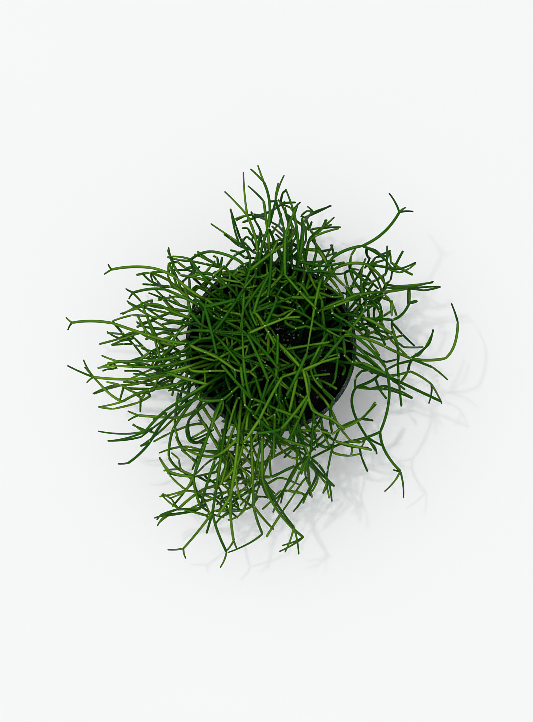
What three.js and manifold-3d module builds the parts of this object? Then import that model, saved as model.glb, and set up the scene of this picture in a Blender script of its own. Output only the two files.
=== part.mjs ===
// A mistletoe cactus (Rhipsalis): rooted cuttings in a twelve-centimetre nursery pot.
// Millimetres, Z up. The pot stands on z = 0 with its axis on the Z axis.
import * as THREE from "three";
import { mergeVertices } from "three/addons/utils/BufferGeometryUtils.js";
import Module from "manifold-3d";

const wasm = await Module();
wasm.setup();

// Pot: a thin moulded cone with a stepped collar, a lip and a drained base.
const POT_HEIGHT = 93;
const RIM_RADIUS = 60;
const LIP_WIDTH = 3;
const LIP_DEPTH = 2.6;
const LIP_ROUND = 0.6;
const COLLAR_RADIUS = 57.8;
const COLLAR_HEIGHT = 9;
const SHOULDER_RADIUS = 55.5;
const FOOT_RADIUS = 43;
const WALL = 1.2;
const BASE = 1.5;
const DRAIN_CIRCLE = 34;
const DRAIN_RADIUS = 4;
const DRAIN_COUNT = 8;
const DRAIN_RISE = 2.5;
const DRAIN_LEDGE = 4.5;
const DRAIN_FACETS = 8;
const POT_FACETS = 32;

// Soil: a plug that fills the pot to a finger's breadth below the rim, with a crumbly top.
const SOIL_TOP = 80;
const SOIL_GAP = 0.3;
const SOIL_RINGS = [48, 34, 22, 10];
const SOIL_FACETS = 24;
const CRUMB_HEIGHT = 1;
const CRUMB_LENGTH = 5;
const HOLE_RADIUS = 1.85;
const HOLE_SIDES = 6;

// Stems: thin green rods that thin from one joint to the next.
const ROOT_DEPTH = 20;
const LEADER_RADIUS = 1.15;
const SIDE_RADIUS = 0.95;
const TIP_RADIUS = 0.8;
const POINT_RADIUS = 0.55;
const LEADER_FACETS = 5;
const TWIG_FACETS = 4;
const LEADER_SUPPLENESS = 0.55;
const TWIG_SUPPLENESS = 0.25;
const STEP_LENGTH = 18;

// Clearance: a stem bends up, down or aside to pass the stems before it and the pot's rim.
const STEM_GAP = 0.8;
const BEAD_SPACING = 1.5;
const RIM_GAP = 1.5;
const RISES = [0, 3, -3, 6, -6, 9, -9, 12, -12, 15, -15];
const BOWS = [0, 4, -4, 8, -8, 12, -12];

const POT_FINISH = { color: 0x20282a, roughness: 0.6, metalness: 0 };
const SOIL_FINISH = { color: 0x1d1a16, roughness: 0.95, metalness: 0 };
const STEM_FINISH = { color: 0x4f7a1e, roughness: 0.5, metalness: 0 };

// Corners nearer than this are one corner.
const MERGE_DISTANCE = 1e-4;

const UP = new THREE.Vector3(0, 0, 1);

// One rooted cutting: its place in the soil, its joints outwards, the tips on the last and its sides.
function stem(name, root, joints, tips, ...sides) {
  return { name, root, joints, tips, sides };
}

// A side stem that leaves the leader at the joint numbered from.
function side(from, joints, tips = []) {
  return { from, joints, tips };
}

// Every cutting, the ones that arch over the rim first and the ones above the pot last.
const STEMS = [
  stem("east_high", [18, 21], [[40, 58, 136], [60, 66, 140], [86, 90, 126]],
    [[80, 104, 118], [92, 95, 112], [96, 91, 122]], side(1, [[78, 57, 124]])),
  stem("east_arm", [12, 10], [[43, 52, 128], [62, 55, 132], [78, 40, 120]],
    [[112, 45, 106]], side(1, [[86, 52, 122]], [[98, 57, 120]])),
  stem("east_hook", [29, 6], [[54, 17, 124], [82, 18, 120], [95, 30, 108]],
    [[101, 32, 103], [96, 42, 101]]),
  stem("east_long", [27, 15], [[49, 31, 130], [76, 37, 117], [94, 40, 109]], [[117, 42, 98]]),
  stem("far_hook", [19, -4], [[49, 7, 134], [76, 0, 127], [95, -8, 114], [121, -8, 100], [131, 17, 92]],
    [[127, 31, 88]], side(2, [[111, -14, 106]], [[123, -23, 98]]),
    side(2, [[108, 2, 113]], [[111, 12, 110]])),
  stem("south_east_long", [25, -8], [[53, -11, 124], [79, -20, 115], [119, -38, 92]], [],
    side(1, [[96, -17, 104], [112, -26, 95]], [[121, -40, 84], [112, -40, 82]])),
  stem("south_east_y", [7, 15], [[48, 10, 144], [76, -14, 134], [76, -59, 98], [92, -88, 80]],
    [[82, -104, 68], [96, -109, 66], [88, -88, 71]],
    side(2, [[52, -67, 88], [26, -80, 84]], [[0, -92, 86]])),
  stem("south_east_arch", [33, -4], [[53, -3, 120], [75, -16, 110], [60, -28, 90], [69, -64, 64]],
    [[82, -72, 56], [77, -76, 52], [66, -73, 58]], side(2, [[83, -30, 78]], [[102, -37, 70]])),
  stem("south_east_low", [18, -16], [[36, -36, 124], [46, -55, 110], [63, -50, 97]],
    [[74, -40, 91], [72, -52, 88]]),
  stem("east_drop", [37, 21], [[62, 19, 134], [81, 8, 128], [87, -10, 110]], [[92, -42, 86]]),
  stem("south_fan", [9, -19], [[17, -48, 132], [24, -73, 118], [40, -93, 94]],
    [[43, -109, 84], [37, -104, 80], [45, -98, 86]],
    side(1, [[32, -86, 104], [25, -104, 88]], [[16, -117, 80]]), side(1, [[27, -96, 92]]),
    side(1, [[17, -83, 104], [9, -101, 90]], [[2, -109, 82], [7, -111, 80]])),
  stem("south_hairpin", [-7, -33], [[-6, -61, 138], [-6, -87, 130], [23, -135, 80]],
    [[8, -143, 68], [6, -146, 76]], side(1, [[16, -126, 92]], [[20, -148, 76], [10, -145, 84]])),
  stem("south_low", [-15, -29], [[-13, -70, 126], [-12, -110, 102], [-6, -133, 78]],
    [[-31, -149, 62]], side(1, [[2, -129, 84]])),
  stem("south_tip", [-28, -32], [[-33, -70, 124], [-41, -116, 90], [-32, -148, 66]],
    [[-37, -161, 56]], side(1, [[-63, -145, 68]], [[-75, -147, 62], [-62, -154, 58]]),
    side(1, [[-46, -133, 76]])),
  stem("south_mid", [-19, -18], [[-22, -65, 144], [-27, -100, 128], [-26, -135, 96]],
    [[-31, -143, 90], [-24, -142, 88]]),
  stem("south_west_low", [-23, -37], [[-38, -77, 122], [-50, -114, 84], [-75, -120, 74]],
    [[-84, -123, 69], [-82, -129, 66]]),
  stem("south_west_mid", [-32, -26], [[-43, -62, 128], [-53, -89, 110], [-49, -110, 94]], [],
    side(1, [[-70, -87, 98]], [[-78, -77, 93]]), side(1, [[-59, -100, 99]], [[-71, -106, 92]])),
  stem("south_west_arch", [-29, -13], [[-47, -30, 134], [-66, -55, 118], [-71, -76, 99], [-62, -88, 86]],
    [[-54, -97, 78]]),
  stem("south_west_pin", [-22, -26], [[-42, -37, 128], [-56, -50, 114], [-56, -65, 96]],
    [[-40, -58, 88], [-44, -68, 86]]),
  stem("south_west_fork", [-13, -40], [[-25, -82, 118], [-45, -98, 100], [-65, -114, 84]],
    [[-78, -105, 78], [-79, -120, 74]]),
  stem("south_west_bow", [-9, -22], [[-21, -59, 134], [-36, -73, 122], [-61, -69, 104]], [[-78, -74, 96]]),
  stem("west_low", [-26, -21], [[-48, -34, 136], [-66, -44, 128], [-83, -65, 104], [-101, -82, 84]],
    [[-109, -83, 80]], side(2, [[-91, -69, 96]])),
  stem("west_pair", [-16, -11], [[-42, -25, 144], [-71, -43, 126], [-86, -58, 112]],
    [[-121, -59, 92], [-114, -66, 88], [-95, -53, 106]]),
  stem("west_under", [-38, -22], [[-51, -43, 116], [-70, -49, 102], [-93, -48, 90]],
    [[-101, -45, 87], [-101, -52, 84]]),
  stem("far_west", [-32, -5], [[-53, -13, 138], [-81, -21, 126], [-123, -21, 100]],
    [[-143, -13, 90], [-131, -9, 94], [-129, -25, 92]]),
  stem("west_cross", [-22, -2], [[-57, -23, 128], [-82, -29, 116], [-103, -38, 102]],
    [[-121, -42, 92]], side(2, [[-119, -26, 97]], [[-131, -14, 90]])),
  stem("west_mid", [-38, 0], [[-62, -7, 134], [-85, -10, 124], [-105, -10, 110]],
    [[-117, -6, 104], [-120, -15, 100], [-113, -14, 102]]),
  stem("west_curl", [-26, -8], [[-62, -17, 118], [-90, -25, 104], [-111, -27, 92]], [[-126, -33, 84]]),
  stem("far_west_bar", [-30, 6], [[-57, 2, 140], [-81, 7, 130], [-108, 16, 112], [-139, 17, 94]],
    [[-144, 21, 90], [-143, 12, 88]], side(1, [[-91, 22, 116]])),
  stem("west_short", [-40, 6], [[-65, 1, 122], [-90, 10, 108], [-105, 6, 98]],
    [[-121, 2, 88], [-115, 11, 92]]),
  stem("north_west_low", [-29, 18], [[-54, 19, 130], [-75, 28, 120], [-90, 27, 108]],
    [[-105, 23, 97], [-100, 32, 100]]),
  stem("north_west_mid", [-23, 9], [[-48, 27, 140], [-71, 38, 130], [-94, 37, 112]],
    [[-100, 40, 106], [-98, 33, 102]]),
  stem("north_west_bar", [-23, 25], [[-47, 33, 128], [-65, 47, 120], [-82, 54, 112], [-111, 54, 96]],
    [[-117, 51, 91], [-114, 58, 93]]),
  stem("north_west_short", [-35, 15], [[-55, 32, 114], [-71, 46, 102], [-84, 52, 94]],
    [[-95, 51, 87], [-82, 43, 84]]),
  stem("north_west_fork", [-15, 21], [[-42, 43, 138], [-54, 58, 132]],
    [[-70, 61, 118]], side(0, [[-61, 48, 122], [-69, 61, 108]], [[-71, 69, 101]])),
  stem("north_west_bow", [-6, 19], [[-18, 53, 148], [-39, 62, 144], [-54, 58, 126]], [[-52, 50, 112]]),
  stem("north_tall", [-6, 28], [[-8, 55, 140], [-2, 77, 146], [-5, 111, 122]],
    [[-9, 124, 111], [-14, 121, 115]], side(1, [[3, 97, 130]])),
  stem("north_pair", [-13, 33], [[-9, 63, 134], [-16, 88, 124]],
    [[-32, 107, 105], [-19, 120, 107], [-26, 86, 116]]),
  stem("north_low", [-19, 29], [[-14, 59, 122], [-22, 71, 112]], [[-42, 86, 96], [-28, 96, 98]]),
  stem("north_leaf", [1, 38], [[-1, 64, 132], [-5, 99, 114]], [[-16, 111, 105]]),
  stem("north_split", [8, 29], [[11, 56, 140], [8, 79, 136], [3, 99, 121]], [[5, 112, 112], [9, 118, 106]]),
  stem("north_hook", [15, 33], [[18, 61, 136], [15, 92, 122]], [[10, 108, 111], [20, 98, 118]]),
  stem("north_east_arm", [11, 21], [[19, 59, 140], [22, 82, 127], [29, 92, 110]],
    [[42, 98, 99], [25, 97, 104]]),
  stem("north_east_fan", [22, 29], [[23, 56, 116], [26, 73, 108], [35, 82, 100]],
    [[49, 84, 92], [38, 89, 95], [44, 90, 101]]),
  stem("north_east_low", [30, 24], [[32, 51, 118], [38, 62, 106]], [[43, 71, 99], [46, 66, 96]]),
  stem("core_west", [-44, 12], [[-54, 11, 122], [-37, 10, 143]], [[-15, 8, 152]]),
  stem("core_east", [38, 28], [[33, 44, 134], [27, 18, 148]], [[23, -5, 152]]),
  stem("core_middle", [-2, -43], [[-13, -34, 150], [-18, -8, 155]], [[-19, 20, 150]]),
  stem("core_north", [-5, 43], [[-1, 29, 134], [12, 25, 140], [26, 18, 138], [36, 11, 136]],
    [[50, 3, 151]], side(0, [[-12, 25, 142]])),
  stem("core_north_east", [34, 10], [[31, 23, 132], [20, 35, 144]],
    [[9, 46, 150]], side(0, [[49, 31, 136]])),
  stem("core_long", [2, 7], [[1, 6, 126], [9, -4, 138], [22, -16, 146], [24, -35, 138], [39, -49, 126]],
    [[50, -56, 118]], side(2, [[7, -19, 150]]), side(2, [[35, -8, 147]], [[45, -5, 143]])),
  stem("core_east_bow", [43, 6], [[38, 9, 128], [26, -13, 134], [34, -28, 136]], [[42, -35, 132]]),
  stem("core_cross", [20, 4], [[21, 16, 122], [6, 19, 128], [-6, 13, 134]], [[-16, 10, 136]]),
  stem("core_north_west", [-40, 22], [[-43, 33, 112], [-29, 41, 122], [-14, 37, 130]],
    [[-6, 33, 134]], side(2, [[-11, 25, 140], [-2, 10, 144]], [[3, 0, 144]])),
  stem("core_south_west_long", [-45, -3], [[-44, 0, 122], [-33, -1, 130], [-19, -7, 138], [-3, -13, 141],
    [3, -22, 138]], [[14, -30, 132]], side(2, [[-10, -5, 145]], [[-2, -5, 148]])),
  stem("core_west_low", [-46, -12], [[-51, -1, 128], [-35, -7, 136]], [[-23, -16, 138]]),
  stem("core_south_west", [-40, -28], [[-33, -36, 120]],
    [[-22, -27, 130], [-39, -51, 112], [-46, -34, 116]]),
  stem("core_south", [-9, -48], [[-11, -46, 116], [-6, -35, 128]], [[-2, -22, 138], [3, -25, 132]]),
];

// The merged triangles of a closed geometry, as a solid that can be joined and cut.
function solid(geometry) {
  geometry.deleteAttribute("normal");
  geometry.deleteAttribute("uv");
  const merged = mergeVertices(geometry, MERGE_DISTANCE);
  const corners = [];
  for (let i = 0; i < merged.index.count; i += 3) {
    const triangle = [merged.index.getX(i), merged.index.getX(i + 1), merged.index.getX(i + 2)];
    if (new Set(triangle).size === 3) {
      corners.push(...triangle);
    }
  }
  const vertProperties = new Float32Array(merged.attributes.position.array);
  const triVerts = new Uint32Array(corners);
  return new wasm.Manifold(new wasm.Mesh({ numProp: 3, vertProperties, triVerts }));
}

function join(solids) {
  return solids.reduce((whole, piece) => whole.add(piece));
}

function piece(name, body, finish) {
  const mesh = body.getMesh();
  const geometry = new THREE.BufferGeometry();
  geometry.setAttribute("position", new THREE.BufferAttribute(new Float32Array(mesh.vertProperties), 3));
  geometry.setIndex(new THREE.BufferAttribute(new Uint32Array(mesh.triVerts), 1));
  geometry.computeVertexNormals();
  const part = new THREE.Mesh(geometry, new THREE.MeshStandardMaterial(finish));
  part.name = name;
  return part;
}

// A turned body from its half section, given as [radius, height] pairs from the base upwards.
function turned(section, facets) {
  const points = section.map(([radius, height]) => new THREE.Vector2(radius, height));
  return new THREE.LatheGeometry(points, facets).rotateX(Math.PI / 2);
}

function rod(radius, height, facets, x, y, z) {
  const geometry = new THREE.CylinderGeometry(radius, radius, height, facets).rotateX(Math.PI / 2);
  return solid(geometry.translate(x, y, z + height / 2));
}

// Outer radius of the pot's cone at a height below its collar.
function coneRadius(height) {
  const collarFoot = POT_HEIGHT - COLLAR_HEIGHT;
  return FOOT_RADIUS + ((SHOULDER_RADIUS - FOOT_RADIUS) * height) / collarFoot;
}

function pot() {
  const collarFoot = POT_HEIGHT - COLLAR_HEIGHT;
  const lipFoot = POT_HEIGHT - LIP_DEPTH;
  const ledgeIn = DRAIN_CIRCLE - DRAIN_LEDGE;
  const ledgeOut = DRAIN_CIRCLE + DRAIN_LEDGE;
  const step = WALL + LIP_ROUND;
  const section = [
    [0, 0],
    [ledgeIn - BASE, 0],
    [ledgeIn, DRAIN_RISE],
    [ledgeOut, DRAIN_RISE],
    [ledgeOut + BASE, 0],
    [FOOT_RADIUS, 0],
    [SHOULDER_RADIUS, collarFoot],
    [COLLAR_RADIUS, collarFoot + LIP_ROUND],
    [COLLAR_RADIUS, lipFoot],
    [RIM_RADIUS, lipFoot + LIP_ROUND],
    [RIM_RADIUS, POT_HEIGHT - LIP_ROUND],
    [RIM_RADIUS - LIP_ROUND, POT_HEIGHT],
    [RIM_RADIUS - LIP_WIDTH + LIP_ROUND, POT_HEIGHT],
    [RIM_RADIUS - LIP_WIDTH, POT_HEIGHT - LIP_ROUND],
    [COLLAR_RADIUS - WALL, collarFoot + step],
    [SHOULDER_RADIUS - WALL, collarFoot],
    [coneRadius(BASE) - WALL, BASE],
    [ledgeOut + BASE / 2, BASE],
    [ledgeOut - BASE / 2, DRAIN_RISE + BASE],
    [ledgeIn + BASE / 2, DRAIN_RISE + BASE],
    [ledgeIn - BASE / 2, BASE],
    [0, BASE],
  ];
  let body = solid(turned(section, POT_FACETS));
  for (let i = 0; i < DRAIN_COUNT; i += 1) {
    const turn = (2 * Math.PI * i) / DRAIN_COUNT;
    const x = DRAIN_CIRCLE * Math.cos(turn);
    const y = DRAIN_CIRCLE * Math.sin(turn);
    body = body.subtract(rod(DRAIN_RADIUS, 2 * DRAIN_RISE + BASE, DRAIN_FACETS, x, y, 0));
  }
  return piece("pot", body, POT_FINISH);
}

// Height of the crumbly surface above the level soil.
function crumbs(x, y) {
  const coarse = Math.sin(x / CRUMB_LENGTH) * Math.cos(y / CRUMB_LENGTH);
  const fine = Math.sin((x + 2 * y) / CRUMB_LENGTH);
  return CRUMB_HEIGHT * (coarse + fine / 2);
}

function soil() {
  const floor = DRAIN_RISE + BASE + SOIL_GAP;
  const edge = SOIL_TOP - CRUMB_HEIGHT;
  const section = [
    [0, floor],
    [coneRadius(floor) - WALL - SOIL_GAP, floor],
    [coneRadius(edge) - WALL - SOIL_GAP, edge],
    ...SOIL_RINGS.map((radius) => [radius, SOIL_TOP]),
    [0, SOIL_TOP],
  ];
  const geometry = turned(section, SOIL_FACETS);
  const points = geometry.attributes.position;
  for (let i = 0; i < points.count; i += 1) {
    if (points.getZ(i) > edge + CRUMB_HEIGHT / 2) {
      points.setZ(i, SOIL_TOP + crumbs(points.getX(i), points.getY(i)));
    }
  }
  const depth = ROOT_DEPTH + 1;
  const holes = STEMS.map(({ root: [x, y] }) => {
    return rod(HOLE_RADIUS, 2 * depth, HOLE_SIDES, x, y, SOIL_TOP - depth);
  });
  return piece("soil", solid(geometry).subtract(join(holes)), SOIL_FINISH);
}

// The centre line of a rod, straight from one ring of its surface to the next.
class Rings extends THREE.Curve {
  constructor(centres) {
    super();
    this.centres = centres;
  }

  getPoint(t, target = new THREE.Vector3()) {
    const place = t * (this.centres.length - 1);
    const index = Math.min(Math.floor(place), this.centres.length - 2);
    return target.lerpVectors(this.centres[index], this.centres[index + 1], place - index);
  }

  getUtoTmapping(u) {
    return u;
  }
}

// A rod through the given centres that thins evenly from its first ring to its last.
function twig(centres, startRadius, endRadius, facets) {
  const section = new THREE.Shape();
  for (let i = 0; i < facets; i += 1) {
    const turn = (2 * Math.PI * i) / facets;
    const place = [startRadius * Math.cos(turn), startRadius * Math.sin(turn)];
    if (i === 0) {
      section.moveTo(...place);
    } else {
      section.lineTo(...place);
    }
  }
  section.closePath();
  const last = centres.length - 1;
  const extrudePath = new Rings(centres);
  const geometry = new THREE.ExtrudeGeometry(section, { steps: last, bevelEnabled: false, extrudePath });
  const points = geometry.attributes.position;
  const corner = new THREE.Vector3();
  for (let i = 0; i < points.count; i += 1) {
    corner.fromBufferAttribute(points, i);
    const distances = centres.map((centre) => centre.distanceTo(corner));
    const ring = distances.indexOf(Math.min(...distances));
    const radius = startRadius + ((endRadius - startRadius) * ring) / last;
    corner.sub(centres[ring]).multiplyScalar(radius / startRadius).add(centres[ring]);
    points.setXYZ(i, corner.x, corner.y, corner.z);
  }
  return solid(geometry);
}

// Ways past an obstacle, as a rise of the far joint and a sideways bow, the least bent first.
const WAYS = RISES.flatMap((rise) => BOWS.map((bow) => [rise, bow]));
WAYS.sort((one, other) => Math.abs(one[0]) + Math.abs(one[1]) - Math.abs(other[0]) - Math.abs(other[1]));

// Points strung along the straight chords between centres.
function beads(centres, radius) {
  const strung = [];
  for (let i = 1; i < centres.length; i += 1) {
    const count = Math.ceil(centres[i - 1].distanceTo(centres[i]) / BEAD_SPACING);
    for (let k = 0; k <= count; k += 1) {
      strung.push({ at: centres[i - 1].clone().lerp(centres[i], k / count), radius });
    }
  }
  return strung;
}

function touchesRim({ at, radius }) {
  const reach = Math.hypot(at.x, at.y);
  const gap = RIM_GAP + radius;
  const overRim = reach > SHOULDER_RADIUS - WALL - gap && reach < RIM_RADIUS + gap;
  return overRim && at.z < POT_HEIGHT + gap;
}

function isClear(strung, others) {
  return strung.every((bead) => {
    if (touchesRim(bead)) {
      return false;
    }
    return others.every(({ at, radius }) => {
      return at.distanceTo(bead.at) >= radius + bead.radius + STEM_GAP;
    });
  });
}

// One stretch of stem towards a joint: it sets off along its heading, and bends clear of the others.
function stretch(start, joint, heading, suppleness, radius, others) {
  for (const [rise, bow] of WAYS) {
    const end = new THREE.Vector3(joint[0], joint[1], joint[2] + rise);
    const span = end.clone().sub(start);
    const ahead = start.clone().addScaledVector(heading, span.length() / 2);
    const across = new THREE.Vector3(span.y, -span.x, 0).normalize();
    const middle = start.clone().lerp(end, 0.5).lerp(ahead, suppleness).addScaledVector(across, bow);
    const curve = new THREE.QuadraticBezierCurve3(start, middle, end);
    const centres = curve.getPoints(Math.ceil(span.length() / STEP_LENGTH));
    if (isClear(beads(centres, radius), others)) {
      return { centres, heading: end.clone().sub(middle).normalize() };
    }
  }
  throw new Error(`no clear way to ${joint}`);
}

// A run of stretches from a start through the joints, with its centres and its state at each joint.
function run(start, joints, heading, suppleness, radius, others) {
  const centres = [start];
  const stations = [];
  for (const joint of joints) {
    const last = stations.at(-1) ?? { at: start, heading };
    const next = stretch(last.at, joint, last.heading, suppleness, radius, others);
    centres.push(...next.centres.slice(1));
    stations.push({ at: centres.at(-1), heading: next.heading });
  }
  return { centres, stations };
}

// Every rod of one cutting, as its centres, its two radii and its facets.
function growth({ name, root, joints, tips, sides }, others) {
  const start = new THREE.Vector3(root[0], root[1], SOIL_TOP);
  const leader = run(start, joints, UP, LEADER_SUPPLENESS, LEADER_RADIUS, others);
  leader.centres.unshift(start.clone().addScaledVector(UP, -ROOT_DEPTH));
  const rods = [[leader.centres, LEADER_RADIUS, SIDE_RADIUS, LEADER_FACETS]];
  const ends = tips.map((tip) => [leader.stations.at(-1), tip]);
  for (const { from, joints: sideJoints, tips: sideTips } of sides) {
    const { at, heading } = leader.stations[from];
    const twigRun = run(at, sideJoints, heading, TWIG_SUPPLENESS, SIDE_RADIUS, others);
    rods.push([twigRun.centres, SIDE_RADIUS, TIP_RADIUS, TWIG_FACETS]);
    ends.push(...sideTips.map((tip) => [twigRun.stations.at(-1), tip]));
  }
  for (const [{ at, heading }, tip] of ends) {
    const point = run(at, [tip], heading, TWIG_SUPPLENESS, TIP_RADIUS, others);
    rods.push([point.centres, TIP_RADIUS, POINT_RADIUS, TWIG_FACETS]);
  }
  return { name, rods };
}

// The cuttings in turn, each bent clear of those before it.
function grownStems() {
  const others = [];
  return STEMS.map((cutting) => {
    const grown = growth(cutting, others);
    for (const [centres, radius] of grown.rods) {
      others.push(...beads(centres, radius));
    }
    return grown;
  });
}

const plant = new THREE.Group();
plant.add(pot(), soil());
for (const { name, rods } of grownStems()) {
  const body = join(rods.map((rodShape) => twig(...rodShape)));
  plant.add(piece(`stem_${name}`, body, STEM_FINISH));
}

export default plant;
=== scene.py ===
import math
import random

import bpy
import numpy as np
from bpy.props import FloatProperty, FloatVectorProperty, IntProperty, PointerProperty
from mathutils import Matrix, Vector, noise
from mathutils.kdtree import KDTree


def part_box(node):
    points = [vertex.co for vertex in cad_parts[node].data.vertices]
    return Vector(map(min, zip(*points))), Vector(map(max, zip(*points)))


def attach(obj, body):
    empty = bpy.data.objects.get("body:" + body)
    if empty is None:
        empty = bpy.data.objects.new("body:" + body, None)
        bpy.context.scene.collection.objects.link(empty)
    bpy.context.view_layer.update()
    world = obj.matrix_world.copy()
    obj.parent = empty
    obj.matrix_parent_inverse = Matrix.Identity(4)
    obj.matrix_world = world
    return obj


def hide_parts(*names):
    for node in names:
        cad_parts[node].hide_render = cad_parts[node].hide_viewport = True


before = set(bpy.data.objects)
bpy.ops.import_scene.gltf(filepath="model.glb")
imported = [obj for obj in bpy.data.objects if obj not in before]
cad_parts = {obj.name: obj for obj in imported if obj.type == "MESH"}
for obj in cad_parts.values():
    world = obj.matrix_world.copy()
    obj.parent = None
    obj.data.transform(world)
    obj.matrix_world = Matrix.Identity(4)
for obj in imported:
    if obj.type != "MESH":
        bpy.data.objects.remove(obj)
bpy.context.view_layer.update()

bl_info = {
    "name": "Potted mistletoe cactus",
    "version": (1, 0, 0),
    "blender": (4, 5, 0),
    "location": "View3D > Sidebar > Cactus",
    "description": "Grows a mistletoe cactus in its nursery pot around the packed frame",
    "category": "Add Mesh",
}

BODY = "root"

# The plant is laid out in millimetres.
MM = 0.001

POT_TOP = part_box("pot")[1]

# Pot: a thin moulded cone with a stepped collar, a lip and a drained base.
POT_HEIGHT = POT_TOP.z / MM
RIM_RADIUS = POT_TOP.x / MM
LIP_WIDTH = 3
LIP_DEPTH = 2.6
LIP_ROUND = 0.6
COLLAR_RADIUS = 57.8
COLLAR_HEIGHT = 9
SHOULDER_RADIUS = 55.5
FOOT_RADIUS = 43
WALL = 1.2
BASE = 1.5
DRAIN_CIRCLE = 34
DRAIN_RADIUS = 4
DRAIN_COUNT = 8
DRAIN_RISE = 2.5
DRAIN_LEDGE = 4.5

# Soil: a plug that fills the pot to a finger's breadth below the rim, with a crumbly top.
SOIL_TOP = 80
SOIL_GAP = 0.3
CRUMB_HEIGHT = 1
CRUMB_LENGTH = 5

# Stems: thin green rods that thin from one joint to the next.
ROOT_DEPTH = 20
LEADER_RADIUS = 1.15
SIDE_RADIUS = 0.95
TIP_RADIUS = 0.8
POINT_RADIUS = 0.55
LEADER_SUPPLENESS = 0.55
TWIG_SUPPLENESS = 0.25
SHOOT_SUPPLENESS = 0.1
STEP_LENGTH = 18
# Ages at the two ends of a stem, from 0 at the root to 1 at the end of a tip.
LEADER_AGES = (0.0, 0.6)
SIDE_AGES = (0.5, 0.8)
TIP_AGES = (0.75, 1.0)

# Clearance: a stem bends up, down or aside to pass the stems before it and the pot's rim.
STEM_GAP = 0.8
BEAD_SPACING = 1.5
RIM_GAP = 1.5
RISES = (0, 3, -3, 6, -6, 9, -9, 12, -12, 15, -15)
BOWS = (0, 4, -4, 8, -8, 12, -12)
WAYS = [(rise, bow) for rise in RISES for bow in BOWS]
WAYS.sort(key=lambda way: abs(way[0]) + abs(way[1]))

# The camera looks straight down from here.
CAMERA_HEIGHT = 893
CAMERA_PLACE = (-3.1, -9.8)

# The looser twigs of the tangle may touch, and start anywhere within a fork of their stem.
TOUCH_GAP = 0.15
FORK_LENGTH = 3.5
LOOSE_WAYS = ((0, 0), (2.5, 0), (-2.5, 0), (0, 2.5), (0, -2.5), (5, 0), (-5, 0), (3, 3), (-3, -3))
# The first beads of a leader are at its root, in the soil.
ROOT_BEADS = 3

UP = np.array([0.0, 0.0, 1.0])


def cutting(name, root, joints, tips, *sides):
    """A rooted cutting: its place in the soil, its joints outwards, the tips on the last, its sides."""
    return {"name": name, "root": root, "joints": joints, "tips": tips, "sides": sides}


def side(start, joints, tips=()):
    """A side stem that leaves the leader at the joint numbered start."""
    return {"from": start, "joints": joints, "tips": tips}


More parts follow.
